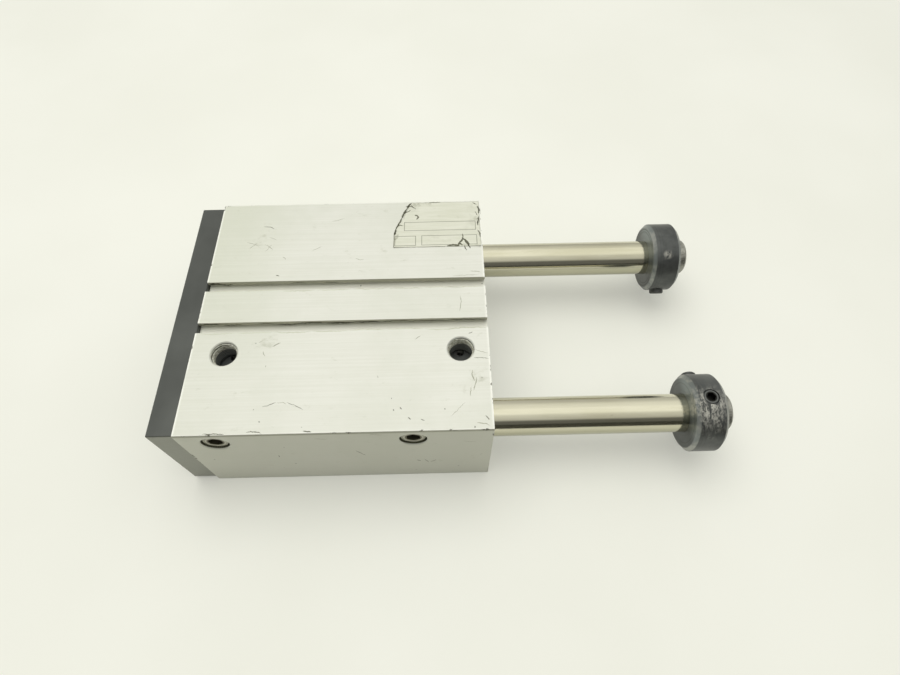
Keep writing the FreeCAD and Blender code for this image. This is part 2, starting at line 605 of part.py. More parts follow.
def make_piston():
    spigot = "(spigot_diameter/2 + seat_clearance)"
    shoulder = "(bore_diameter/2 - shoulder_drop)"
    wear_root = f"({PISTON_RADIUS} - wear_ring_depth)"
    seal_root = f"({PISTON_RADIUS} - piston_seal_depth)"
    magnet_root = f"({PISTON_RADIUS} - magnet_depth)"
    first_land = "(cushion_thickness + shoulder_length)"
    wear_end = f"({WEAR_START} + wear_ring_width)"
    seal_end = f"({SEAL_START} + piston_seal_width)"
    front = [("cushion_thickness", spigot), ("cushion_thickness", shoulder), (first_land, shoulder),
             (first_land, PISTON_RADIUS), (WEAR_START, PISTON_RADIUS), (WEAR_START, wear_root),
             (wear_end, wear_root), (wear_end, PISTON_RADIUS), (SEAL_START, PISTON_RADIUS),
             (SEAL_START, seal_root), (seal_end, seal_root), (seal_end, PISTON_RADIUS),
             (SPLIT, PISTON_RADIUS), (SPLIT, spigot)]
    turned("piston_front", front, PISTON_FRONT)
    nut_seat = f"({PISTON_END} - nut_pocket_depth)"
    pocket_radius = "nut_pocket_diameter/2"
    last_land = f"({PISTON_END} - shoulder_length)"
    rear = [(SPLIT, spigot), (SPLIT, magnet_root), (MAGNET_END, magnet_root),
            (MAGNET_END, PISTON_RADIUS), (last_land, PISTON_RADIUS), (last_land, shoulder),
            (PISTON_END, shoulder), (PISTON_END, pocket_radius), (nut_seat, pocket_radius),
            (nut_seat, spigot)]
    turned("piston_rear", rear, PISTON_FRONT)

    turned("wear_ring", ring_profile(f"({wear_root} + seat_clearance)", SEAL_RADIUS, "wear_ring_width"),
           f"{PISTON_FRONT} + {WEAR_START}")
    # Two lips with a shallow channel between them.
    seal_inner = f"({seal_root} + seat_clearance)"
    channel = f"({SEAL_RADIUS} - 0.8)"
    seal = [("0", seal_inner), ("0", channel), ("0.5", SEAL_RADIUS), ("1.0", SEAL_RADIUS),
            ("1.5", channel), ("(piston_seal_width - 1.5)", channel),
            ("(piston_seal_width - 1.0)", SEAL_RADIUS), ("(piston_seal_width - 0.5)", SEAL_RADIUS),
            ("piston_seal_width", channel), ("piston_seal_width", seal_inner)]
    turned("piston_seal", seal, f"{PISTON_FRONT} + {SEAL_START}")
    turned("magnet_ring", ring_profile(f"({magnet_root} + seat_clearance)",
                                       f"({PISTON_RADIUS} - magnet_drop)", "magnet_width"),
           f"{PISTON_FRONT} + {SPLIT}")
    cushion = ring_profile("cushion_inner/2", "cushion_outer/2", "cushion_thickness")
    turned("front_bumper", cushion, PISTON_FRONT)
    turned("rear_bumper", cushion, f"{PISTON_FRONT} + {PISTON_END}")

    nut = new_body("piston_nut")
    outline = new_sketch(nut, "YZ_Plane", "HexagonSketch")
    draw_outline(outline, hexagon("nut_hex"))
    pad(nut, outline, "nut_thickness", "Hexagon")
    drill(nut, "YZ_Plane", "0", [("0", "0", "(spigot_diameter + 2*screw_play)")], "nut_thickness", True,
          "Thread")
    place(nut, f"{PISTON_FRONT} + {nut_seat}")


def rod_profile(length, radius, tail):
    """A rod from the tool plate backwards: a tapped hole in front and the given tail points."""
    tap = "tapped_diameter/2"
    bevel = "rod_end_chamfer/2"
    return [("0", tap), ("0", f"({radius} - {bevel})"), (bevel, radius)] + tail(length, radius) + [
        ("rod_tap_depth", "0"), ("rod_tap_depth", tap)]


def make_rods():
    def chamfered(length, radius):
        return [(f"({length} - rod_end_chamfer)", radius), (length, f"({radius} - rod_end_chamfer)"),
                (length, "0")]

    def stepped(length, radius):
        tip = f"({length} + {PISTON_END} - cushion_thickness - 0.4)"
        return [(length, radius), (length, "spigot_diameter/2"), (tip, "spigot_diameter/2"), (tip, "0")]

    guide_length = f"({GUIDE_END} + plate_gap)"
    for side, name in ((NEAR, "guide_rod_near"), (FAR, "guide_rod_far")):
        profile = rod_profile(guide_length, "guide_diameter/2", chamfered)
        turned(name, profile, PLATE_BACK, f"{side}*{GUIDE_Y}")
    piston_rod_length = f"({PISTON_FRONT} + cushion_thickness + plate_gap)"
    turned("piston_rod", rod_profile(piston_rod_length, "rod_diameter/2", stepped), PLATE_BACK)


# ---------------------------------------------------------------- tool plate

def make_tool_plate():
    body = new_body("tool_plate")
    half = "(body_width/2 - plate_side_inset)"
    high = "(body_height/2 - plate_top_inset)"
    low = f"-{high}"
    outline = new_sketch(body, "YZ_Plane", "OutlineSketch")
    draw_outline(outline, [(f"-{half}", low), (half, low), (half, high), (f"-{half}", high)])
    pad(body, outline, "plate_thickness", "Plate")
    dress_edges(body, "Chamfer", lambda edge: True, "plate_bevel", "BrokenEdges")
    stations = (f"-{GUIDE_Y}", "0", GUIDE_Y)
    drill(body, "YZ_Plane", "0", [(y, "0", "screw_hole_diameter") for y in stations],
          "plate_thickness", True, "ScrewHoles")
    drill(body, "YZ_Plane", "0", [(y, "0", "counterbore_diameter") for y in stations],
          "counterbore_depth", True, "Counterbores")
    taps = [(f"{across}plate_hole_spacing_y/2", f"{up}plate_hole_spacing_z/2", "tapped_diameter")
            for across in ("-", "") for up in ("-", "")]
    drill(body, "YZ_Plane", "0", taps, "plate_thickness", True, "PlateTaps")
    dowels = [(f"{across}plate_dowel_spacing/2", "0", "dowel_diameter") for across in ("-", "")]
    drill(body, "YZ_Plane", "0", dowels, "dowel_depth", True, "PlateDowels")
    place(body, f"{PLATE_BACK} - plate_thickness")

    under_head = "(screw_length + screw_diameter)"
    shank = "(screw_diameter/2 - screw_play)"
    head = "screw_head_diameter/2"
    profile = [("0", "0"), ("0", f"({head} - 0.6)"), ("0.6", head), ("screw_diameter", head),
               ("screw_diameter", shank), (f"({under_head} - 1)", shank),
               (under_head, f"({shank} - 1)"), (under_head, "0")]
    for name, y in (("guide_rod_screw_near", stations[0]), ("piston_rod_screw", stations[1]),
                    ("guide_rod_screw_far", stations[2])):
        screw = new_body(name)
        sketch = new_sketch(screw, "XZ_Plane", "ProfileSketch")
        draw_outline(sketch, profile)
        revolve(screw, sketch)
        sink_hexagon(screw, "0", "screw_hex", "screw_hex_depth")
        place(screw, f"{PLATE_BACK} - plate_thickness + counterbore_depth - screw_diameter", y)


# ---------------------------------------------------------------- stop collars

def make_collar(name, x, y, turn):
    """A collar with two tapped holes, a quarter turn apart, for its set screws."""
    body = new_body(name)
    inner = "(guide_diameter/2 + seat_clearance)"
    outer = "collar_diameter/2"
    edge = "collar_chamfer"
    profile = [("0", inner), ("0", f"({outer} - {edge})"), (edge, outer),
               (f"(collar_length - {edge})", outer), ("collar_length", f"({outer} - {edge})"),
               ("collar_length", inner)]
    sketch = new_sketch(body, "XZ_Plane", "ProfileSketch")
    draw_outline(sketch, profile)
    revolve(body, sketch)
    hole = [("collar_length/2", "0", "(set_screw_diameter + 2*screw_play)")]
    drill(body, "XY_Plane", outer, hole, outer, False, "UpperTap")
    drill(body, "XZ_Plane", f"(-{outer})", hole, outer, True, "SideTap")
    place(body, x, y, AXIS, (1, 0, 0), turn)


def make_set_screw(name, length, x, y, turn):
    """A set screw whose point rests on the rod, at a turn about the rod from straight up."""
    body = new_body(name)
    radius = "set_screw_diameter/2"
    bevel = "set_screw_chamfer"
    start = "guide_diameter/2"
    profile = [(start, "0"), (start, f"({radius} - {bevel}*2)"), (f"({start} + {bevel}*2)", radius),
               (f"({start} + {length} - {bevel})", radius),
               (f"({start} + {length})", f"({radius} - {bevel})"), (f"({start} + {length})", "0")]
    sketch = new_sketch(body, "XZ_Plane", "ProfileSketch")
    draw_outline(sketch, profile)
    revolve(body, sketch)
    sink_hexagon(body, f"({start} + {length})", "set_screw_hex", "set_screw_hex_depth", reverse=False)
    place(body, f"{x} + collar_length/2", y)
    upright = FreeCAD.Rotation(FreeCAD.Vector(0, 1, 0), -90)
    body.Placement.Rotation = FreeCAD.Rotation(FreeCAD.Vector(1, 0, 0), size_of(turn)) * upright


def make_collars():
    near_y = f"-{GUIDE_Y}"
    far_y = GUIDE_Y
    make_collar("stop_collar_near", NEAR_COLLAR, near_y, "0")
    make_collar("stop_collar_far", FAR_COLLAR, far_y, "far_collar_turn")
    make_set_screw("collar_screw_near_up", "set_screw_length", NEAR_COLLAR, near_y, "0")
    make_set_screw("collar_screw_near_side", "proud_screw_length", NEAR_COLLAR, near_y, "-90")
    make_set_screw("collar_screw_far_side", "proud_screw_length", FAR_COLLAR, far_y,
                   "(far_collar_turn - 90)")
    make_set_screw("collar_screw_far_down", "set_screw_length", FAR_COLLAR, far_y, "far_collar_turn")


# ---------------------------------------------------------------- build, check, write

def check(document, pieces):
    """Refuse a document with a failed object or a piece without a sound solid."""
    for item in document.Objects:
        if {"Invalid", "Error"} & set(item.State):
            raise RuntimeError(f"{item.Label}: {item.State}")
    for piece in pieces:
        shape = piece.Shape
        if shape.isNull() or not shape.isValid() or not shape.Solids:
            raise RuntimeError(f"{piece.Label}: no valid solid")


def main():
    make_body_block()
    make_heads()
    make_bore_rings()
    make_guides()
    make_plugs()
    make_piston()
    make_rods()
    make_tool_plate()
    make_collars()
    doc.recompute()
    check(doc, nodes)
    os.makedirs(OUT, exist_ok=True)
    for piece in nodes:
        piece.Shape.exportStep(os.path.join(OUT, f"{piece.Label}.step"))
        box = piece.Shape.BoundBox
        print(f"{piece.Label:26s} {len(piece.Shape.Solids)} solid, {piece.Shape.Volume:10.1f} mm3,"
              f" x {box.XMin:8.2f} {box.XMax:8.2f}  y {box.YMin:7.2f} {box.YMax:7.2f}"
              f"  z {box.ZMin:6.2f} {box.ZMax:6.2f}")


main()
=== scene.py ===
import json
import math
import random

import bmesh
import bpy
from mathutils import Matrix, Vector


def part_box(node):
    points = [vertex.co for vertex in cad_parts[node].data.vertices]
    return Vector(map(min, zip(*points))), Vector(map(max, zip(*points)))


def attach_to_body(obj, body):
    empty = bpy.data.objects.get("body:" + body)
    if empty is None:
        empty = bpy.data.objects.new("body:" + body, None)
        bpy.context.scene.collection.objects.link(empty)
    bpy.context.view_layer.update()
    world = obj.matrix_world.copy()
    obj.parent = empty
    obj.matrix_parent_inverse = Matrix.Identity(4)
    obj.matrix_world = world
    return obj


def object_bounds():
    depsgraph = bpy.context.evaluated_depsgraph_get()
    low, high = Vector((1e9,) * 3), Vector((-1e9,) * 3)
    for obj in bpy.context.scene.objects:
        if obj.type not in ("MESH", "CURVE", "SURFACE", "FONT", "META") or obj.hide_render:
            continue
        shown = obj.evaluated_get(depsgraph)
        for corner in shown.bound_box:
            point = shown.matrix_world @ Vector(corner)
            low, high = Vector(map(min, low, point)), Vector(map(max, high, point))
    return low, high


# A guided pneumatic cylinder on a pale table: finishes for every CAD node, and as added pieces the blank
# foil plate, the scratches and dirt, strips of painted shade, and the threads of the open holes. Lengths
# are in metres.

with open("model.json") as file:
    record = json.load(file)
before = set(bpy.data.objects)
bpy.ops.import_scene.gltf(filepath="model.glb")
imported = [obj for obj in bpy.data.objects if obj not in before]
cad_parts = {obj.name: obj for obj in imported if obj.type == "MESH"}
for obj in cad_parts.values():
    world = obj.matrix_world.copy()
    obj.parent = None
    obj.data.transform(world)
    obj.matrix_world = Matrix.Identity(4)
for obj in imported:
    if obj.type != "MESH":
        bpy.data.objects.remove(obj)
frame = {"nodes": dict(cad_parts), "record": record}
cad_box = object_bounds()

MM = 0.001
NODES = frame["nodes"]
MOUNTS = {mount["name"]: mount for mount in frame["record"]["mounts"]}
BODY = "body"
CARRIAGE = "carriage"
PLUGS = ("side_port_plug_front", "side_port_plug_rear")
TOP_PORTS = ("front_top_port", "rear_top_port")
UP = Vector((0, 0, 1))
TO_NEAR_SIDE = Vector((0, -1, 0))


# ---------------------------------------------------------------- places read from the frame

def middle(node):
    """The middle of a CAD node's box."""
    low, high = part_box(node)
    return (low + high) / 2


body_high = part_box("body_block")[1]
BODY_TOP = body_high.z
HALF_WIDTH = body_high.y
HALF_LENGTH = body_high.x
ROD_HEIGHT = BODY_TOP / 2
PLATE_NEAR_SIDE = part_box("tool_plate")[0].y
ROD_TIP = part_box("guide_rod_near")[1].x

# The foil plate, at the body's rear far corner.
LABEL_SIZE = Vector((49 * MM, 33.5 * MM))
LABEL_FROM_REAR = 0.6 * MM
LABEL_FROM_FAR_SIDE = 0.8 * MM
LABEL_THICKNESS = 0.09 * MM
LABEL_HIGH = Vector((HALF_LENGTH - LABEL_FROM_REAR, HALF_WIDTH - LABEL_FROM_FAR_SIDE))
LABEL_LOW = LABEL_HIGH - LABEL_SIZE


# ---------------------------------------------------------------- node building

class Nodes:
    """A node tree, with short calls for sums, smooth steps and mixes."""

    def __init__(self, tree, coordinates):
        self.new = tree.nodes.new
        self.tree = tree
        tree.nodes.clear()
        self.place = self.new("ShaderNodeTexCoord").outputs[coordinates]

    def link(self, value, socket):
        """Feed a socket from an output, or set it to a constant."""
        if isinstance(value, bpy.types.NodeSocket):
            self.tree.links.new(value, socket)
        elif value is not None:
            socket.default_value = value

    def link_colour(self, colour, socket):
        """The same for a colour, which is an output or a red, green and blue."""
        self.link(colour if isinstance(colour, bpy.types.NodeSocket) else (*colour, 1.0), socket)

    def math(self, operation, a, b=None, clamp=False):
        item = self.new("ShaderNodeMath")
        item.operation = operation
        item.use_clamp = clamp
        self.link(a, item.inputs[0])
        self.link(b, item.inputs[1])
        return item.outputs[0]

    def fold(self, operation, values):
        """Several values joined in turn by one operation."""
        result = values[0]
        for value in values[1:]:
            result = self.math(operation, result, value)
        return result

    def add(self, *values):
        return self.fold("ADD", values)

    def times(self, *values):
        return self.fold("MULTIPLY", values)

    def greatest(self, *values):
        return self.fold("MAXIMUM", values)

    def minus(self, a, b):
        return self.math("SUBTRACT", a, b)

    def absolute(self, value):
        return self.math("ABSOLUTE", value)

    def vector(self, operation, a, b=None, c=None):
        item = self.new("ShaderNodeVectorMath")
        item.operation = operation
        for socket, value in zip(item.inputs, (a, b, c)):
            self.link(value, socket)
        return item.outputs["Value" if operation == "LENGTH" else "Vector"]

    def distance(self, point, kept_axes=None):
        """How far the surface is from a point, along the kept axes only."""
        away = self.vector("SUBTRACT", self.place, tuple(point))
        if kept_axes:
            away = self.vector("MULTIPLY", away, kept_axes)
        return self.vector("LENGTH", away)

    def step(self, value, low, high, out_low=0.0, out_high=1.0):
        """A smooth step of value from low to high."""
        item = self.new("ShaderNodeMapRange")
        item.interpolation_type = "SMOOTHSTEP"
        self.link(value, item.inputs["Value"])
        item.inputs["From Min"].default_value = low
        item.inputs["From Max"].default_value = high
        item.inputs["To Min"].default_value = out_low
        item.inputs["To Max"].default_value = out_high
        return item.outputs["Result"]

    def fall(self, value, low, high):
        """A smooth step down from 1 at low to 0 at high."""
        return self.step(value, low, high, 1.0, 0.0)

    def mix(self, factor, a, b, blend="MIX"):
        """A mix of two colours."""
        item = self.new("ShaderNodeMix")
        item.data_type = "RGBA"
        item.blend_type = blend
        self.link(factor, item.inputs["Factor"])
        self.link_colour(a, item.inputs[6])
        self.link_colour(b, item.inputs[7])
        return item.outputs[2]

    def paint(self, base, *layers):
        """A base colour under layers, each a share and a colour."""
        for share, colour in layers:
            base = self.mix(share, base, colour)
        return base

    def axes(self, place=None):
        """The x, y and z of a place, by default of the surface."""
        item = self.new("ShaderNodeSeparateXYZ")
        self.link(place or self.place, item.inputs[0])
        return item.outputs

    def joined(self, *parts):
        item = self.new("ShaderNodeCombineXYZ")
        for socket, part in zip(item.inputs, parts):
            self.link(part, socket)
        return item.outputs[0]


class Shader(Nodes):
    """A material of one surface, with the patterns that the finishes share."""

    def __init__(self, name, metallic=0.0, **constants):
        self.material = bpy.data.materials.new(name)
        self.material.use_nodes = True
        super().__init__(self.material.node_tree, "Object")
        self.output = self.new("ShaderNodeOutputMaterial")
        self.surface = self.new("ShaderNodeBsdfPrincipled")
        self.link(self.surface.outputs["BSDF"], self.output.inputs["Surface"])
        self.surface.inputs["Metallic"].default_value = metallic
        for socket, value in constants.items():
            self.surface.inputs[socket.replace("_", " ")].default_value = value

    def scaled(self, scale, shift=(0.0, 0.0, 0.0)):
        """Object coordinates in metres, scaled per axis and then shifted."""
        item = self.new("ShaderNodeMapping")
        item.vector_type = "POINT"
        item.inputs["Location"].default_value = shift
        item.inputs["Scale"].default_value = scale
        self.link(self.place, item.inputs["Vector"])
        return item.outputs["Vector"]

    def texture(self, kind, scale, place, **settings):
        item = self.new(kind)
        item.inputs["Scale"].default_value = scale
        for socket, value in settings.items():
            item.inputs[socket].default_value = value
        self.link(place or self.place, item.inputs["Vector"])
        return item.outputs

    def noise(self, scale, detail=3.0, roughness=0.55, place=None):
        return self.texture("ShaderNodeTexNoise", scale, place, Detail=detail, Roughness=roughness)["Fac"]

    def parts(self, colour):
        item = self.new("ShaderNodeSeparateColor")
        self.link(colour, item.inputs[0])
        return item.outputs

    def bend(self, amount, scale):
        """Object coordinates pushed about by noise, so that lines drawn with them wander."""
        colour = self.texture("ShaderNodeTexNoise", scale, None, Detail=2.0)["Color"]
        push = self.joined(*[self.minus(part, 0.5) for part in self.parts(colour)])
        return self.vector("MULTIPLY_ADD", push, (amount,) * 3, self.place)

    def specks(self, scale, radius, share, place=None):
        """Small round pits in a share of the cells of a grid."""
        cell = self.texture("ShaderNodeTexVoronoi", scale, place)
        chosen = self.fall(self.parts(cell["Color"])[0], share, share + 0.02)
        pit = self.fall(cell["Distance"], radius * 0.5, radius)
        return self.times(pit, chosen)

    def bump(self, height, strength, distance):
        item = self.new("ShaderNodeBump")
        item.inputs["Strength"].default_value = strength
        item.inputs["Distance"].default_value = distance
        self.link(height, item.inputs["Height"])
        self.link(item.outputs["Normal"], self.surface.inputs["Normal"])

    def show(self, colour, share):
        """Let the camera, gloss and glass see a share of the colour as it is, whatever falls on it."""
        path = self.new("ShaderNodeLightPath").outputs
        seen = self.math("ADD", self.add(path["Is Camera Ray"], path["Is Glossy Ray"]),
                         path["Is Transmission Ray"], clamp=True)
        glow = self.new("ShaderNodeEmission")
        glow.inputs["Strength"].default_value = 1.0
        self.link(colour, glow.inputs["Color"])
        blend = self.new("ShaderNodeMixShader")
        self.link(self.times(seen, share), blend.inputs["Fac"])
        self.link(self.surface.outputs["BSDF"], blend.inputs[1])
        self.link(glow.outputs["Emission"], blend.inputs[2])
        self.link(blend.outputs[0], self.output.inputs["Surface"])

    def finish(self, colour, roughness):
        """Set the surface's colour and roughness, and hand over the material."""
        self.link_colour(colour, self.surface.inputs["Base Color"])
        self.link(roughness, self.surface.inputs["Roughness"])
        return self.material


# ---------------------------------------------------------------- pieces

def add_mesh(name, verts, faces, smooth=True, outward=True):
    """Add a piece with the given mesh."""
    mesh = bpy.data.meshes.new(name)
    mesh.from_pydata([tuple(v) for v in verts], [], faces)
    mesh.validate()
    if outward:
        turned = bmesh.new()
        turned.from_mesh(mesh)
        bmesh.ops.recalc_face_normals(turned, faces=turned.faces)
        turned.to_mesh(mesh)
        turned.free()
    if smooth:
        mesh.shade_smooth()
    piece = bpy.data.objects.new(name, mesh)
    bpy.context.scene.collection.objects.link(piece)
    return piece


def thicken(piece, name, thickness):
    """Give a sheet its thickness, downwards from its face."""
    skin = piece.modifiers.new(name, "SOLIDIFY")
    skin.thickness = thickness
    skin.offset = -1


def dress(material, *names):
    """Give CAD nodes a material."""
    for name in names:
        piece = NODES[name]
        piece.data.materials.clear()
        piece.data.materials.append(material)


def attach(piece, material, body=BODY):
    """Give an added piece its material, and fix it to a body."""
    piece.data.materials.append(material)
    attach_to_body(piece, body)


# ---------------------------------------------------------------- finish of the body

GROOVE_HALF_BAND = 20 * MM
GROOVE_DEPTH = 5 * MM
PLUG_RECESS_RADIUS = 6.72
EDGE_BURR = 0.2 * MM
# Where hands have smudged the body's top: x, y and reach in mm.
HANDLED = ((-35, -22, 10), (-50, 42, 13), (66, -46, 12))


def body_edges(shader, reach):
    """How close a point of the body is to one of its outer edges: 1 on the edge, 0 at reach."""
    x, y, z = shader.axes()
    half_height = BODY_TOP / 2
    near_x = shader.step(shader.absolute(x), HALF_LENGTH - reach, HALF_LENGTH)
    near_y = shader.step(shader.absolute(y), HALF_WIDTH - reach, HALF_WIDTH)
    near_z = shader.step(shader.absolute(shader.minus(z, half_height)), half_height - reach, half_height)
    return shader.greatest(shader.times(near_x, near_y), shader.times(near_y, near_z),
                           shader.times(near_z, near_x))


def side_port(shader, plug, radius):
    """1 inside a radius in mm about a side plug's axis, 0 outside it."""
    centre = middle(plug)
    away = shader.distance((centre.x, 0.0, centre.z), (1.0, 0.0, 1.0))
    near = shader.fall(shader.axes()[1], centre.y + 6 * MM, centre.y + 7 * MM)
    return shader.times(near, shader.fall(away, (radius - 0.15) * MM, radius * MM))


def side_ports(shader, radius):
    """The same about either side plug."""
    return shader.greatest(*[side_port(shader, plug, radius) for plug in PLUGS])


def top_port(shader, name, depth):
    """1 in a top port's bore below a depth in mm, 0 outside it."""
    mount = MOUNTS[name]
    at = Vector(mount["pos_m"])
    radius = mount["dims"]["r_mm"]
    away = shader.distance((at.x, at.y, 0.0), (1.0, 1.0, 0.0))
    inside = shader.fall(away, radius * MM, (radius + 0.6) * MM)
    z = shader.axes()[2]
    return shader.times(inside, shader.fall(z, BODY_TOP - (depth + 0.5) * MM, BODY_TOP - depth * MM))


def top_ports(shader, depth):
    """The same in either top port."""
    return shader.greatest(*[top_port(shader, name, depth) for name in TOP_PORTS])


def body_smudges(shader):
    """Cloudy finger marks, thickest where hands have been."""
    spots = [shader.fall(shader.distance((x * MM, y * MM, BODY_TOP)), 2 * MM, reach * MM)
             for x, y, reach in HANDLED]
    handled = shader.greatest(*spots)
    blots = shader.noise(150.0, 4.0, 0.7, shader.scaled((1, 1.6, 1), (0.03, 0.11, 0)))
    return shader.step(shader.add(blots, shader.times(handled, 0.13)), 0.60, 0.84)


def body_nicks(shader):
    """Small chips along the outer edges."""
    chips = shader.add(shader.times(body_edges(shader, 3.4 * MM), 0.55), shader.noise(260.0, 5.0, 0.75))
    places = shader.step(shader.noise(42.0, 2.0, 0.6), 0.44, 0.54)
    return shader.times(shader.step(chips, 1.08, 1.15), places)


def anodised_body():
    """Clear-anodised extrusion: brushed along X, smudged, nicked at its edges, with painted shade and
    highlights.
    """
    shader = Shader("anodised_body", metallic=0.32, IOR=1.5)
    x, y, z = shader.axes()
    off_centre = shader.absolute(y)
    streaks = shader.noise(1.0, 6.0, 0.7, shader.scaled((11, 900, 900)))
    hairs = shader.noise(1.0, 4.0, 0.7, shader.scaled((34, 2400, 2400), (0.2, 0.4, 0.1)))
    clouds = shader.noise(19.0, 5.0, 0.66)
    smudges = body_smudges(shader)
    dull = shader.times(shader.step(hairs, 0.60, 0.72), shader.step(clouds, 0.42, 0.62))
    # Pale along the outer edges, off the long sides: partly wear, partly a painted highlight.
    worn_and_highlit_edges = shader.times(body_edges(shader, 1.3 * MM), shader.step(shader.noise(60.0, 3.0, 0.6), 0.22, 0.48),
                        shader.fall(off_centre, HALF_WIDTH - 0.45 * MM, HALF_WIDTH - EDGE_BURR))
    pits = shader.specks(260.0, 0.15, 0.035, shader.bend(0.003, 300.0))
    marks = shader.greatest(shader.times(pits, 0.8), body_nicks(shader))
    # Painted light: inside the grooves the colour is made paler, standing in for the light on the groove
    # floors.
    groove = shader.times(shader.fall(off_centre, GROOVE_HALF_BAND - 1 * MM, GROOVE_HALF_BAND),
                          shader.step(z, BODY_TOP - GROOVE_DEPTH - 0.2 * MM, BODY_TOP - GROOVE_DEPTH),
                          shader.fall(z, BODY_TOP - 0.25 * MM, BODY_TOP - 0.05 * MM))
    # Painted shade: the upper part of the groove walls in dark olive.
    shaded_groove_lips = shader.times(groove, shader.step(z, BODY_TOP - 3.6 * MM, BODY_TOP - 2.6 * MM))
    # Painted shade: the long sides are painted darker than the top.
    shaded_flanks = shader.step(off_centre, HALF_WIDTH - 0.6 * MM, HALF_WIDTH - 0.05 * MM)
    # Painted shade: a dark olive band on the long sides just under the top edges.
    shade_under_top_edge = shader.times(shader.step(off_centre, HALF_WIDTH - 0.45 * MM, HALF_WIDTH - EDGE_BURR),
                              shader.step(z, BODY_TOP - 2.2 * MM, BODY_TOP - 0.9 * MM))
    tarnish = shader.times(shader.fall(x, -HALF_LENGTH, -HALF_LENGTH * 0.2),
                           shader.step(y, -HALF_WIDTH * 0.5, HALF_WIDTH * 0.4, 0.35, 1.0))
    bare = shader.mix(shader.step(streaks, 0.28, 0.72), (0.735, 0.74, 0.685), (0.79, 0.795, 0.75))
    base = shader.paint(
        bare,
        (shader.times(shader.step(clouds, 0.34, 0.66), 0.55), (0.68, 0.695, 0.625)),
        (shader.times(tarnish, 0.30), (0.56, 0.60, 0.45)),
        (shader.times(dull, 0.26), (0.50, 0.50, 0.43)),
        (shader.times(smudges, 0.55), (0.50, 0.51, 0.42)),
        (shader.times(shaded_flanks, 0.55), (0.46, 0.46, 0.385)),
        (shader.times(shade_under_top_edge, 0.6), (0.24, 0.235, 0.165)),
        (shader.times(groove, 0.5), (0.90, 0.90, 0.82)),
        (shader.times(shaded_groove_lips, 0.75), (0.36, 0.355, 0.26)),
        (shader.times(worn_and_highlit_edges, 0.8), (0.95, 0.955, 0.91)),
        (shader.times(marks, 0.9), (0.08, 0.08, 0.055)),
        # Painted shade in the bores of the top ports.
        (top_ports(shader, 0.7), (0.15, 0.158, 0.155)),
        # Painted shade in the recesses round the side plugs.
        (side_ports(shader, PLUG_RECESS_RADIUS), (0.062, 0.062, 0.032)))
    rough = shader.add(0.40, shader.times(streaks, 0.10), shader.times(smudges, 0.12),
                       shader.times(worn_and_highlit_edges, -0.1))
    brushing = shader.add(shader.times(streaks, 0.10), shader.times(hairs, 0.06))
    shader.bump(shader.minus(brushing, marks), 0.25, 0.08 * MM)
    return shader.finish(base, rough)


# ---------------------------------------------------------------- finish of the other pieces

SAWN_LENGTH = 5 * MM


def chromed_rod():
    """Ground hard chrome: faint rings round the rod, a warm tint, a few dull specks, painted shade
    underneath, sawn grey ends.
    """
    shader = Shader("chromed_rod", metallic=1.0)
    x, y, z = shader.axes()
    rings = shader.noise(1.0, 3.0, 0.6, shader.scaled((900, 3, 3)))
    film_and_lip_shade = shader.noise(1.0, 5.0, 0.65, shader.scaled((14, 110, 110)))
    specks = shader.specks(420.0, 0.16, 0.05)
    # Painted shade: the underside of the rod is darker.
    shaded_underside = shader.fall(z, ROD_HEIGHT + 1 * MM, ROD_HEIGHT + 5 * MM)
    end = shader.step(x, ROD_TIP - SAWN_LENGTH - 2.6 * MM, ROD_TIP - SAWN_LENGTH)
    sawn = shader.noise(1.0, 3.0, 0.6, shader.scaled((500, 260, 2200)))
    sawn_face = shader.mix(shader.step(sawn, 0.3, 0.7), (0.25, 0.25, 0.225), (0.42, 0.42, 0.385))
    base = shader.paint(
        shader.mix(shader.step(film_and_lip_shade, 0.35, 0.7), (0.70, 0.675, 0.545), (0.60, 0.575, 0.44)),
        (shader.times(specks, 0.5), (0.32, 0.29, 0.23)),
        (shader.times(shaded_underside, 0.7), (0.36, 0.355, 0.255)),
        (end, sawn_face))
    shader.bump(rings, 0.05, 0.02 * MM)
    return shader.finish(base, shader.add(0.10, shader.times(rings, 0.035), shader.times(film_and_lip_shade, 0.05),
                                          shader.times(end, 0.3)))


def black_plate():
    """Oxide-black ground steel: grey sheen, faint grinding lines, a paler near edge."""
    shader = Shader("black_plate", metallic=0.75)
    lines = shader.noise(1.0, 4.0, 0.6, shader.scaled((300, 12, 500)))
    clouds = shader.noise(14.0, 4.0, 0.6)
    specks = shader.specks(240.0, 0.14, 0.05)
    near_side = shader.step(shader.axes()[1], PLATE_NEAR_SIDE + 0.5 * MM, PLATE_NEAR_SIDE)
    base = shader.paint(
        shader.mix(shader.step(clouds, 0.3, 0.7), (0.092, 0.097, 0.093), (0.135, 0.142, 0.136)),
        (near_side, (0.28, 0.285, 0.25)),
        (shader.times(specks, 0.5), (0.32, 0.32, 0.30)))
    shader.bump(lines, 0.08, 0.04 * MM)
    return shader.finish(base, shader.add(0.40, shader.times(lines, 0.12)))


COLLAR_CORNER = (17.6 * MM, 18.4 * MM)


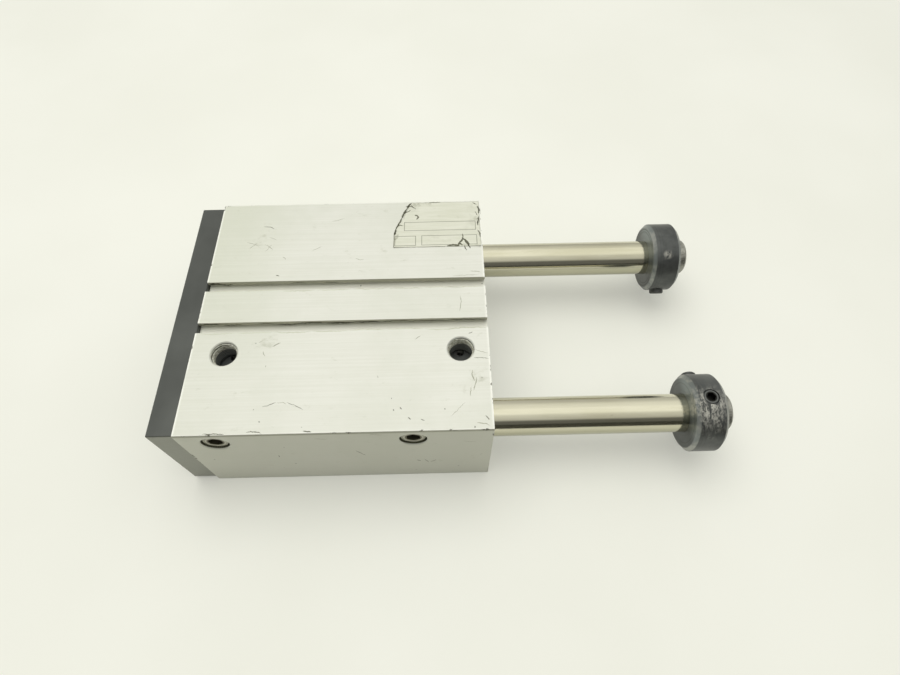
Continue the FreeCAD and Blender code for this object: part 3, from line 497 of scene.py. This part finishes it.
def black_collar(node, rubbed, reach):
    """Black-oxide turned steel, rubbed bright round one place and along its rims, with painted highlights
    on its rims and front face.
    """
    shader = Shader(f"black_oxide_{node}", metallic=0.7)
    low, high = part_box(node)
    centre = middle(node)
    x, y, z = shader.axes()
    radius = shader.distance(centre, (0.0, 1.0, 1.0))
    turning = shader.noise(1300.0, 3.0, 0.6, shader.joined(x, radius))
    clouds = shader.noise(60.0, 4.0, 0.62)
    scuffs = shader.step(shader.noise(1.0, 6.0, 0.8, shader.scaled((520, 260, 260))), 0.45, 0.58)
    spread = shader.noise(90.0, 3.0, 0.6)
    away = shader.add(shader.distance(rubbed), shader.times(spread, reach))
    zone = shader.fall(away, reach * 0.55, reach * 1.45)
    # The chamfered rims: a painted highlight where they meet the outer corner, and rubbed bright in places.
    rims = shader.greatest(shader.fall(x, low.x + 1.4 * MM, low.x + 1.9 * MM),
                           shader.step(x, high.x - 2.0 * MM, high.x - 1.6 * MM))
    corner = shader.step(radius, *COLLAR_CORNER)
    lit_face = shader.times(shader.fall(x, low.x + 0.4 * MM, low.x + 2.4 * MM),
                            shader.step(z, centre.z + 1 * MM, centre.z + 13 * MM))
    wear = shader.greatest(shader.times(scuffs, zone),
                           shader.times(rims, corner, shader.step(spread, 0.45, 0.62), 0.5))
    base = shader.paint(
        shader.mix(shader.step(clouds, 0.3, 0.7), (0.062, 0.066, 0.066), (0.125, 0.132, 0.130)),
        (shader.times(lit_face, 0.75), (0.24, 0.275, 0.275)),
        (shader.times(rims, corner, 0.6), (0.27, 0.29, 0.29)),
        (shader.times(wear, 0.85), (0.62, 0.61, 0.56)),
        (shader.step(turning, 0.57, 0.68), (0.024, 0.024, 0.020)))
    shader.bump(shader.minus(shader.times(turning, 0.6), wear), 0.22, 0.05 * MM)
    return shader.finish(base, shader.add(0.34, shader.times(turning, 0.10), shader.times(wear, 0.12)))


def sunk_screw(node):
    """Set screw low in its hole: painted shade, near black, about the socket, as grey as the collar towards
    the rim.
    """
    shader = Shader("sunk_screw", metallic=0.7)
    centre = middle(node)
    away = shader.distance((centre.x, centre.y, 0.0), (1.0, 1.0, 0.0))
    grain = shader.noise(220.0, 4.0, 0.6)
    rim = shader.mix(shader.step(grain, 0.3, 0.7), (0.105, 0.11, 0.108), (0.165, 0.172, 0.168))
    # Painted shade about the socket.
    base = shader.mix(shader.step(away, 2.5 * MM, 3.0 * MM), (0.010, 0.010, 0.008), rim)
    shader.bump(grain, 0.1, 0.04 * MM)
    return shader.finish(base, shader.add(0.38, shader.times(grain, 0.12)))


def plain_metal(name, dark, light, rough, grain=220, metallic=0.9):
    """A small metal part: fine grain, slight clouding and a few pits."""
    shader = Shader(name, metallic=metallic)
    lines = shader.noise(1.0, 4.0, 0.6, shader.scaled((grain,) * 3))
    clouds = shader.noise(70.0, 3.0, 0.6)
    pits = shader.specks(500.0, 0.2, 0.06)
    clouded = shader.mix(shader.step(clouds, 0.3, 0.7), dark, light)
    base = shader.mix(shader.times(pits, 0.5), clouded, tuple(0.35 * part for part in dark))
    shader.bump(lines, 0.1, 0.04 * MM)
    return shader.finish(base, shader.add(rough, shader.times(lines, 0.14)))


def cut_thread():
    """Thread crests: bare aluminium by the mouth, dark with painted shade further down."""
    shader = Shader("cut_thread", metallic=0.5)
    grain = shader.noise(700.0, 4.0, 0.65)
    base = shader.mix(shader.step(grain, 0.35, 0.65), (0.40, 0.40, 0.31), (0.78, 0.78, 0.70))
    # Painted shade: the crests deeper than 5.2 mm are dark.
    base = shader.mix(top_ports(shader, 5.2), base, (0.13, 0.137, 0.13))
    shader.bump(grain, 0.2, 0.04 * MM)
    return shader.finish(base, shader.add(0.30, shader.times(grain, 0.15)))


def side_plug():
    """Zinc-plated plug, with a painted highlight on its rim and painted shade in its socket."""
    shader = Shader("plug_zinc", metallic=0.75)
    grain = shader.noise(420.0, 4.0, 0.65)
    base = shader.paint(
        shader.mix(shader.step(grain, 0.3, 0.7), (0.26, 0.255, 0.20), (0.42, 0.41, 0.34)),
        # Painted highlight: a pale ring on the plug's rim.
        (shader.times(side_ports(shader, 4.9), 0.35), (0.70, 0.69, 0.60)),
        # Painted shade in and round the socket.
        (side_ports(shader, 4.15), (0.12, 0.112, 0.075)))
    shader.bump(grain, 0.2, 0.04 * MM)
    return shader.finish(base, shader.add(0.34, shader.times(grain, 0.15)))


def soft_matter(name, dark, light, rough):
    """Rubber, plastic or board: no metal, a fine skin and a little bloom."""
    shader = Shader(name)
    skin = shader.noise(900.0, 3.0, 0.6)
    bloom = shader.step(shader.noise(80.0, 4.0, 0.6), 0.4, 0.75)
    shader.bump(skin, 0.12, 0.03 * MM)
    return shader.finish(shader.mix(bloom, dark, light), shader.add(rough, shader.times(skin, 0.12)))


# ---------------------------------------------------------------- marks on the body

# Scratches on the body, each from, to and width in mm: x and y on the top face, x and z on the near side.
DEEP_ON_TOP = (
    (-49, 54, -43, 52.5, 0.35), (-38, 19.5, -36, 19.2, 0.45), (-34.5, -57, -28, -55, 0.24),
    (-23, -55, -15, -59, 0.22), (26, -54, 26.4, -54, 0.45), (30, -59, 31, -60, 0.4),
    (34, -64, 35.5, -65, 0.4), (40, -65, 42, -65.5, 0.3), (51, -60, 51.5, -60.5, 0.5),
    (66, -33, 73.5, -34, 0.25), (64, -19.5, 66, -18.5, 0.3), (70, -64, 72, -66, 0.4),
    (-14, -69.5, -10, -70, 0.5), (-60, -70, -50, -70.4, 0.4), (-40, -69.6, -33, -70.3, 0.4))
DEEP_ON_NEAR_SIDE = (
    (-32, 36, -32.6, 33, 0.35), (7, 40, 9.5, 35, 0.35), (9.5, 35, 11, 34, 0.3),
    (36, 24, 38, 22.5, 0.5), (40, 25, 42, 20, 0.3), (43, 21, 46, 24, 0.35))
DULL_ON_TOP = (
    (-45, 46, -41, 44, 0.25), (-57, 43, -50, 40, 0.22), (-55, 38, -51, 42, 0.22),
    (-47, 41, -42, 37, 0.25), (-43, 41, -46, 36, 0.2), (-36, 32, -34, 30, 0.3),
    (-20, 36, -15, 39, 0.2), (-11, 57, -4, 59, 0.25), (4, 30, 9, 29, 0.22),
    (-34, -24.5, -30, -22.5, 0.4), (-38, -27, -37, -30, 0.3), (-41, -22, -39, -21, 0.3),
    (-36, -36, -35.6, -35, 0.3), (60, -6, 60.5, 4, 0.3), (-28, -55, -23, -56, 0.2),
    (37, -22, 40, -20, 0.25), (54, -64, 61, -57, 0.16), (65, -40, 66, -46, 0.45),
    (67, -44, 65, -51, 0.4), (64, -49, 63.5, -54, 0.3), (66.4, -28.5, 73, -30.5, 0.22),
    (66, -67, 72, -69, 0.35), (57, 17, 71, 17.5, 0.25), (66, 20, 72, 19, 0.35))
DULL_ON_NEAR_SIDE = ((60, 50, 66, 49, 0.3), (-10, 58, -4, 57, 0.3), (16, 61, 22, 60.5, 0.35))
# Painted shade under the lips, along the far walls of the two grooves: x and z.
NEAR_GROOVE_WALL = -9.85 * MM
NEAR_GROOVE_SHADE = (
    (-44, 62.0, -34, 61.9, 0.4), (-35, 61.9, -22, 61.9, 0.6), (-24, 62.0, -8, 61.9, 0.9),
    (-10, 61.9, 6, 62.0, 1.0), (4, 62.0, 20, 61.9, 0.9), (18, 61.9, 38, 62.0, 0.6),
    (36, 62.0, 56, 61.9, 0.5), (54, 61.9, 73.6, 62.0, 0.6), (-73.6, 62.2, -62, 62.0, 1.0),
    (-63, 62.1, -52, 61.9, 0.6))
FAR_GROOVE_WALL = 15.75 * MM
FAR_GROOVE_SHADE = (
    (-73.6, 62, -66, 62, 1.2), (-67, 62, -61, 62, 0.7), (-12, 62, -4, 62, 0.35), (-30, 62, -22, 62, 0.3))
# Painted shade along the near lips of the grooves: their places in y, and the middles of its stretches in
# x.
NEAR_LIPS = (9.5, -16.1)
LIP_SHADE_MIDDLES = (-63, -44, -25, -6, 13, 32, 51, 64)
LIP_SHADE_REACH = 9
LIP_SHADE_WIDTH = 0.5
# Creases and tears of the foil plate, in x and y from its near left corner.
CREASES = (
    (29.8, 0.7, 36.9, 0.7, 1.3), (35.6, 0.7, 38.7, 5.6, 1.2), (38.6, 9.2, 38.6, 5.0, 0.5),
    (38.3, 6.3, 42.2, 0.2, 1.3), (39.6, 1.0, 40.6, -2.6, 0.5), (41.4, 1.6, 42.6, -1.4, 0.5),
    (37.0, 2.6, 38.4, 0.9, 0.9), (11.9, 23.9, 13.6, 23.0, 0.9), (13.5, 23.2, 14.0, 21.4, 1.0),
    (14.0, 21.6, 12.6, 20.8, 0.8), (0.3, 9.0, 1.2, 13.5, 0.9), (1.0, 13.0, 4.4, 22.0, 0.9),
    (4.2, 21.6, 7.4, 28.6, 1.1), (7.2, 28.4, 9.6, 33.2, 1.0), (5.2, 25.4, 9.6, 27.6, 0.5),
    (6.6, 30.8, 10.8, 30.0, 0.45), (2.4, 17.0, 5.2, 15.6, 0.4), (9.5, 31.5, 12.5, 28.0, 0.4),
    (47.8, 30.0, 48.4, 24.0, 0.8), (48.3, 22.0, 47.6, 15.0, 0.7), (47.4, 12.0, 48.5, 6.5, 0.6),
    (45.2, 33.0, 48.0, 31.5, 0.6), (46.6, 26.0, 47.6, 22.5, 0.35), (20, 33.2, 27, 33.3, 0.4))
MARK_LIFT = 0.015 * MM
CREASE_LIFT = LABEL_THICKNESS + 0.03 * MM
RIBBON_STEP = 0.5 * MM
RIBBON_BOW = 0.55 * MM
RIBBON_DRIFT = 0.10
RIBBON_THICKNESS = 0.03 * MM


def on_top(marks, lift=MARK_LIFT, corner=(0.0, 0.0)):
    """Strips on the body's top face, each a start, an end, the face's normal and a width."""
    z = BODY_TOP + lift
    return [(Vector((corner[0] + x0 * MM, corner[1] + y0 * MM, z)),
             Vector((corner[0] + x1 * MM, corner[1] + y1 * MM, z)), UP, width * MM)
            for x0, y0, x1, y1, width in marks]


def on_wall(marks, wall):
    """Strips on an upright wall that faces the near side."""
    y = wall - MARK_LIFT
    return [(Vector((x0 * MM, y, z0 * MM)), Vector((x1 * MM, y, z1 * MM)), TO_NEAR_SIDE, width * MM)
            for x0, z0, x1, z1, width in marks]


def ribbons(name, strips, material):
    """Thin tapered strips of dirt, bare metal or painted shade, each wandering a little between its ends.
    """
    dice = random.Random(23)
    verts = []
    faces = []
    for start, end, normal, width in strips:
        span = end - start
        side = normal.cross(span).normalized()
        count = max(5, int(span.length / RIBBON_STEP))
        bow = dice.uniform(-1, 1) * min(0.09 * span.length, RIBBON_BOW)
        drift = 0.0
        first = len(verts)
        for index in range(count + 1):
            share = index / count
            drift = 0.75 * drift + dice.gauss(0, RIBBON_DRIFT) * MM
            taper = min(1.0, 0.15 + 3.6 * min(share, 1 - share)) * dice.uniform(0.7, 1.35)
            centre = start + span * share + side * (drift + bow * math.sin(math.pi * share))
            verts += [centre - side * (width * taper / 2), centre + side * (width * taper / 2)]
        for index in range(count):
            a = first + 2 * index
            faces.append((a, a + 2, a + 3, a + 1))
    piece = add_mesh(name, verts, faces, smooth=False, outward=False)
    thicken(piece, "body", RIBBON_THICKNESS)
    attach(piece, material)


def make_tears():
    """Dark creases and tears of the foil plate."""
    tear_dirt = plain_metal("tear_dirt", (0.055, 0.055, 0.035), (0.16, 0.16, 0.11), 0.5, metallic=0.1)
    ribbons("label_tears", on_top(CREASES, CREASE_LIFT, LABEL_LOW), tear_dirt)


def make_scratches():
    """Painted shade in the grooves and by their near lips, and deep and dull marks, as ribbons laid on the
    metal.
    """
    painted_groove_shade = plain_metal("painted_groove_shade", (0.022, 0.022, 0.012), (0.07, 0.07, 0.045), 0.6,
                               metallic=0.1)
    scratch_dirt = plain_metal("scratch_dirt", (0.10, 0.10, 0.07), (0.17, 0.165, 0.13), 0.5, metallic=0.2)
    scratch_dull = plain_metal("scratch_dull", (0.33, 0.33, 0.26), (0.44, 0.44, 0.36), 0.5, metallic=0.3)
    painted_lip_shade = plain_metal("painted_lip_shade", (0.56, 0.57, 0.47), (0.68, 0.69, 0.59), 0.5, metallic=0.3)
    # Painted shade: thin grey strips beside the near lips of the grooves.
    film_and_lip_shade = [(x - LIP_SHADE_REACH, y, x + LIP_SHADE_REACH, y, LIP_SHADE_WIDTH) for y in NEAR_LIPS for x in LIP_SHADE_MIDDLES]
    near_side = -HALF_WIDTH
    # Painted shade under the groove lips.
    ribbons("groove_shade_strips", on_wall(NEAR_GROOVE_SHADE, NEAR_GROOVE_WALL)
            + on_wall(FAR_GROOVE_SHADE, FAR_GROOVE_WALL), painted_groove_shade)
    ribbons("deep_scratches", on_top(DEEP_ON_TOP) + on_wall(DEEP_ON_NEAR_SIDE, near_side), scratch_dirt)
    ribbons("dull_scratches", on_top(DULL_ON_TOP) + on_wall(DULL_ON_NEAR_SIDE, near_side), scratch_dull)
    ribbons("lip_shade_strips", on_top(film_and_lip_shade), painted_lip_shade)


# ---------------------------------------------------------------- foil plate

# Empty fields, each from corner to corner in mm from the plate's near left corner. The last one runs out of
# the plate, so that only its near and left sides show.
FIELDS = ((6.0, 12.2, 46.2, 18.4), (0.9, 1.4, 12.4, 8.1), (15.9, 1.6, 46.6, 8.3), (0.4, 0.3, 60, 60))
FIELD_LINE = 0.2 * MM
# The torn corner: how far up the left side the tear starts, and how far it runs along the far side, in mm.
TEAR_START = 10.0
TEAR_WIDTH = 9.6
LABEL_CELLS = (60, 42)
CORNER_LIFT = 14 * MM
CORNER_START = 0.86
EDGE_WEAR = 0.16


def label_fields(shader):
    """Thin outlines of the empty fields."""
    x, y, z = shader.axes(shader.bend(0.0003, 120.0))
    for x0, y0, x1, y1 in FIELDS:
        left, right = LABEL_LOW.x + x0 * MM, LABEL_LOW.x + x1 * MM
        low, high = LABEL_LOW.y + y0 * MM, LABEL_LOW.y + y1 * MM
        off_x = shader.minus(shader.absolute(shader.minus(x, (left + right) / 2)), (right - left) / 2)
        off_y = shader.minus(shader.absolute(shader.minus(y, (low + high) / 2)), (high - low) / 2)
        outside = shader.absolute(shader.greatest(off_x, off_y))
        yield shader.fall(outside, FIELD_LINE * 0.5, FIELD_LINE * 1.3)


def foil_label():
    """Bare foil plate: empty printed fields, and dirt towards its edges."""
    shader = Shader("foil_label", metallic=0.25)
    grain = shader.noise(1.0, 4.0, 0.6, shader.scaled((60, 600, 60)))
    dirt = shader.step(shader.noise(95.0, 6.0, 0.7), 0.52, 0.74)
    x, y, z = shader.axes()
    border = shader.greatest(
        shader.step(x, LABEL_LOW.x + 6.5 * MM, LABEL_LOW.x),
        shader.step(x, LABEL_HIGH.x - 4.5 * MM, LABEL_HIGH.x),
        shader.step(y, LABEL_HIGH.y - 4.5 * MM, LABEL_HIGH.y),
        shader.step(y, LABEL_LOW.y + 1.0 * MM, LABEL_LOW.y, 0.0, 0.8))
    grime = shader.times(dirt, shader.add(0.20, border))
    base = shader.paint(
        shader.mix(shader.step(grain, 0.3, 0.7), (0.665, 0.675, 0.575), (0.735, 0.74, 0.655)),
        (shader.times(shader.greatest(*label_fields(shader)), 0.75), (0.15, 0.15, 0.115)),
        (shader.times(grime, 0.85), (0.17, 0.17, 0.105)))
    shader.bump(shader.times(dirt, -0.5), 0.2, 0.06 * MM)
    return shader.finish(base, shader.add(0.40, shader.times(dirt, 0.15)))


def make_label():
    """Thin sheet with a ragged outline and a torn corner, its corners lifted a little."""
    dice = random.Random(11)
    across, up = LABEL_CELLS
    verts = []
    for j in range(up + 1):
        for i in range(across + 1):
            u, v = i / across, j / up
            x = LABEL_LOW.x + u * LABEL_SIZE.x
            y = LABEL_LOW.y + v * LABEL_SIZE.y
            if i in (0, across) or j in (0, up):
                pull = abs(dice.gauss(0, EDGE_WEAR)) * MM
                x += pull if i == 0 else -pull if i == across else 0
                y += pull if j == 0 else -pull if j == up else 0
            corner = max(0.0, abs(u - 0.5) + abs(v - 0.5) - CORNER_START)
            verts.append((x, y, BODY_TOP + LABEL_THICKNESS + corner * corner * CORNER_LIFT))
    faces = []
    tear_height = LABEL_SIZE.y / MM - TEAR_START
    for j in range(up):
        for i in range(across):
            height = j * LABEL_SIZE.y / up / MM - TEAR_START
            torn_until = TEAR_WIDTH * height / tear_height + dice.uniform(-0.5, 0.5)
            if i * LABEL_SIZE.x / across / MM >= torn_until:
                a = j * (across + 1) + i
                faces.append((a, a + 1, a + across + 2, a + across + 1))
    label = add_mesh("label_plate", verts, faces)
    thicken(label, "skin", LABEL_THICKNESS)
    attach(label, foil_label())


# ---------------------------------------------------------------- threads

PIPE_PITCH = 1.337 * MM
PIPE_THREAD_LENGTH = 11 * MM
BOLT_PITCH = 1.25 * MM
THREAD_CHAMFER = 0.5 * MM
THREAD_DEPTH = 0.60
# Section of a thread's ridge: places along the axis in pitches, and shares of its depth.
THREAD_SECTION = ((-0.34, 0.0), (-0.10, 1.0), (0.10, 1.0), (0.34, 0.0))


def thread_ridge(name, mouth, inwards, radius, pitch, length, steps):
    """The helical ridge of an internal thread, from its mouth inwards along an axis, in steps to a turn."""
    depth = pitch * THREAD_DEPTH
    axis = Vector(inwards).normalized()
    side = axis.orthogonal().normalized()
    other = axis.cross(side)
    count = int(length / pitch * steps)
    verts = []
    faces = []
    for index in range(count + 1):
        angle = 2 * math.pi * index / steps
        out = side * math.cos(angle) + other * math.sin(angle)
        fade = min(1.0, index / steps * 2, (count - index) / steps * 2 + 0.02)
        at = pitch * (0.5 + index / steps)
        for along, inner in THREAD_SECTION:
            verts.append(mouth + axis * (at + along * pitch) + out * (radius - depth * inner * fade))
    corners = len(THREAD_SECTION)
    for index in range(count):
        a, b = corners * index, corners * (index + 1)
        for k in range(corners - 1):
            faces.append((a + k, a + k + 1, b + k + 1, b + k))
        faces.append((a + corners - 1, a, b, b + corners - 1))
    faces.append(tuple(range(corners)))
    faces.append(tuple(corners * count + k for k in reversed(range(corners))))
    return add_mesh(name, verts, faces)


def make_port_threads():
    """Threads of the two open ports on top."""
    metal = cut_thread()
    for name in TOP_PORTS:
        mount = MOUNTS[name]
        at = Vector(mount["pos_m"])
        mouth = Vector((at.x, at.y, BODY_TOP - THREAD_CHAMFER))
        thread = thread_ridge(f"{name}_thread", mouth, -UP, mount["dims"]["r_mm"] * MM, PIPE_PITCH,
                              PIPE_THREAD_LENGTH, steps=40)
        attach(thread, metal)


def make_bolt_threads(name, across, up, length, material, body):
    """Threads of a pattern of four tapped holes, spaced along two directions."""
    mount = MOUNTS[name]
    half_across = Vector(across) * mount["dims"]["spacing_x_mm"] / 2 * MM
    half_up = Vector(up) * mount["dims"]["spacing_y_mm"] / 2 * MM
    corners = [half_across * a + half_up * b for a in (-1, 1) for b in (-1, 1)]
    for number, offset in enumerate(corners, 1):
        mouth = Vector(mount["pos_m"]) + offset - Vector(mount["axis"]) * THREAD_CHAMFER
        thread = thread_ridge(f"{name}_thread_{number}", mouth, -Vector(mount["axis"]),
                              mount["dims"]["hole_r_mm"] * MM, BOLT_PITCH, length, steps=28)
        attach(thread, material, body)


def make_threads():
    """Threads of the open ports, and of the tapped holes in the plate and the base."""
    make_port_threads()
    oiled_steel = plain_metal("tapped_steel", (0.10, 0.10, 0.095), (0.22, 0.22, 0.21), 0.35)
    cut_aluminium = plain_metal("tapped_aluminium", (0.52, 0.52, 0.49), (0.70, 0.70, 0.67), 0.32)
    make_bolt_threads("plate_bolts", (0, 1, 0), (0, 0, 1), 12 * MM, oiled_steel, CARRIAGE)
    make_bolt_threads("base_bolts", (1, 0, 0), (0, 1, 0), 12.5 * MM, cut_aluminium, BODY)


# ---------------------------------------------------------------- light, floor and camera

# Brightness of the studio against the angle in degrees from the near horizon, over the top, to the far one.
ROOM = ((0, 0.13), (36, 0.15), (50, 0.66), (68, 0.78), (86, 1.16), (114, 1.12), (132, 0.96), (158, 0.66),
        (180, 0.52))
ROOM_TINT = (1.0, 0.995, 0.92)
BACKDROP = (0.855, 0.86, 0.80)

LAMP_PLACE = (-0.12, 0.18, 1.25)
LAMP_TARGET = (0.03, 0.0, 0.0)
LAMP_WIDTH = 1.1
LAMP_POWER = 6.2
LAMP_COLOUR = (1.0, 0.99, 0.94)

FLOOR_REACH = 30.0
FLOOR_LOW = cad_box[0].z - 0.05 * MM
BOARD_SPAN = (-0.7, 0.8)
BOARD_PLACE = -0.30
BOARD_HEIGHT = 0.12

CAMERA_PLACE = (52.4 * MM, -168.1 * MM, 312.4 * MM)
CAMERA_TURN_RIGHT = math.radians(0.85)
CAMERA_LOOK_DOWN = math.radians(59.45)
CAMERA_ROLL = math.radians(-0.53)
FOCAL_LENGTH = 23.0
SENSOR_WIDTH = 36.0


def add_world():
    """Plain studio: bright above, dim towards the near side, where the room is, and towards both ends."""
    world = bpy.data.worlds.new("studio")
    world.use_nodes = True
    nodes = Nodes(world.node_tree, "Generated")
    x, y, z = nodes.axes()
    angle = nodes.math("ARCTAN2", nodes.absolute(z), nodes.times(y, -1.0))
    ramp = nodes.new("ShaderNodeValToRGB")
    ramp.color_ramp.interpolation = "EASE"
    while len(ramp.color_ramp.elements) < len(ROOM):
        ramp.color_ramp.elements.new(0.5)
    for element, (degrees, level) in zip(ramp.color_ramp.elements, ROOM):
        element.position = degrees / 180
        element.color = tuple(level * part for part in ROOM_TINT) + (1.0,)
    nodes.link(nodes.math("DIVIDE", angle, math.pi), ramp.inputs["Fac"])
    ends = nodes.step(nodes.absolute(x), 0.45, 0.95, 1.0, 0.45)
    room = nodes.mix(1.0, ramp.outputs["Color"], ends, blend="MULTIPLY")
    path = nodes.new("ShaderNodeLightPath")
    background = nodes.new("ShaderNodeBackground")
    nodes.link(nodes.mix(path.outputs["Is Camera Ray"], room, BACKDROP), background.inputs["Color"])
    background.inputs["Strength"].default_value = 1.0
    output = nodes.new("ShaderNodeOutputWorld")
    nodes.link(background.outputs[0], output.inputs[0])
    bpy.context.scene.world = world


def add_lamp():
    """Wide soft lamp overhead."""
    data = bpy.data.lights.new("overhead", "AREA")
    data.shape = "DISK"
    data.size = LAMP_WIDTH
    data.energy = LAMP_POWER
    data.color = LAMP_COLOUR
    lamp = bpy.data.objects.new("overhead", data)
    lamp.location = LAMP_PLACE
    lamp.rotation_euler = (Vector(LAMP_TARGET) - Vector(LAMP_PLACE)).to_track_quat("-Z", "Y").to_euler()
    lamp.visible_glossy = False
    bpy.context.scene.collection.objects.link(lamp)


def add_stage():
    """Large pale floor under the object, which fades into the backdrop further off."""
    reach = FLOOR_REACH
    floor = add_mesh("floor", [(-reach, -reach, FLOOR_LOW), (reach, -reach, FLOOR_LOW),
                               (reach, reach, FLOOR_LOW), (-reach, reach, FLOOR_LOW)],
                     [(0, 1, 2, 3)], smooth=False)
    shader = Shader("floor_white", Specular_IOR_Level=0.25)
    tone = shader.noise(6.0, 3.0, 0.5)
    colour = shader.mix(shader.step(tone, 0.3, 0.7), (0.84, 0.845, 0.78), (0.87, 0.875, 0.815))
    floor.data.materials.append(shader.finish(colour, 0.6))
    away = shader.vector("LENGTH", shader.place)
    shader.show(colour, shader.step(away, 0.45, 1.6, 0.27, 1.0))
    add_board()


def add_board():
    """Dark board on the near side, seen only in reflections, such as in the polished rods."""
    left, right = BOARD_SPAN
    high = FLOOR_LOW + BOARD_HEIGHT
    board = add_mesh("dark_board", [(left, BOARD_PLACE, FLOOR_LOW), (right, BOARD_PLACE, FLOOR_LOW),
                                    (right, BOARD_PLACE, high), (left, BOARD_PLACE, high)],
                     [(0, 1, 2, 3)], smooth=False)
    board.data.materials.append(soft_matter("board_black", (0.05, 0.05, 0.045), (0.07, 0.07, 0.06), 0.8))
    board.visible_camera = False
    board.visible_diffuse = False
    board.visible_shadow = False


def add_camera():
    """Camera at the photo's angle."""
    data = bpy.data.cameras.new("photo_view")
    data.sensor_width = SENSOR_WIDTH
    data.lens = FOCAL_LENGTH
    data.clip_start = 0.01
    camera = bpy.data.objects.new("photo_view", data)
    turn = (Matrix.Rotation(-CAMERA_TURN_RIGHT, 4, "Z")
            @ Matrix.Rotation(math.pi / 2 - CAMERA_LOOK_DOWN, 4, "X")
            @ Matrix.Rotation(CAMERA_ROLL, 4, "Z"))
    camera.matrix_world = Matrix.Translation(CAMERA_PLACE) @ turn
    bpy.context.scene.collection.objects.link(camera)
    bpy.context.scene.camera = camera


# ---------------------------------------------------------------- putting it together

def names_with(*words):
    """The CAD nodes that have one of the words in their name."""
    return [name for name in NODES if any(word in name for word in words)]


def dress_collars():
    """Collars rubbed beside the near one's upper screw and on top of the far one, and all the screws."""
    hole = middle("collar_screw_near_up")
    rubbed = (hole.x - 2 * MM, hole.y - 6 * MM, hole.z + 4 * MM)
    dress(black_collar("stop_collar_near", rubbed, 18 * MM), "stop_collar_near")
    far = middle("stop_collar_far")
    rubbed = (far.x, far.y - 12 * MM, far.z + 18 * MM)
    dress(black_collar("stop_collar_far", rubbed, 4 * MM), "stop_collar_far")
    dress(plain_metal("black_screw", (0.050, 0.053, 0.053), (0.095, 0.098, 0.096), 0.36, metallic=0.6),
          *names_with("rod_screw", "collar_screw"))
    dress(sunk_screw("collar_screw_near_up"), "collar_screw_near_up")


def dress_nodes():
    """Give every CAD node its finish."""
    dress(anodised_body(), "body_block")
    dress(chromed_rod(), "guide_rod_near", "guide_rod_far", "piston_rod")
    dress(black_plate(), "tool_plate")
    dress_collars()
    dress(side_plug(), *PLUGS)
    dress(plain_metal("turned_aluminium", (0.66, 0.66, 0.64), (0.76, 0.76, 0.74), 0.26, grain=900),
          "front_gland", "rear_cap", "piston_front", "piston_rear")
    dress(plain_metal("bearing_bronze", (0.44, 0.30, 0.14), (0.60, 0.43, 0.22), 0.32),
          *names_with("guide_bush", "gland_bush"))
    dress(plain_metal("phosphated_ring", (0.075, 0.070, 0.064), (0.13, 0.125, 0.115), 0.42, metallic=0.6),
          *names_with("guide_ring", "retaining_ring"))
    dress(plain_metal("bright_steel", (0.50, 0.50, 0.49), (0.60, 0.60, 0.58), 0.20),
          "gallery_ball", "piston_nut")
    dress(soft_matter("black_rubber", (0.016, 0.016, 0.016), (0.040, 0.040, 0.038), 0.55),
          *names_with("guide_wiper", "o_ring", "bumper", "rod_seal", "piston_seal"))
    dress(soft_matter("brown_ptfe", (0.12, 0.085, 0.055), (0.18, 0.13, 0.09), 0.5), "wear_ring")
    dress(soft_matter("magnet_plastic", (0.050, 0.046, 0.044), (0.085, 0.080, 0.076), 0.5), "magnet_ring")


dress_nodes()
make_label()
make_threads()
make_tears()
make_scratches()
add_world()
add_lamp()
add_stage()
add_camera()
bpy.context.scene.view_settings.view_transform = "Standard"
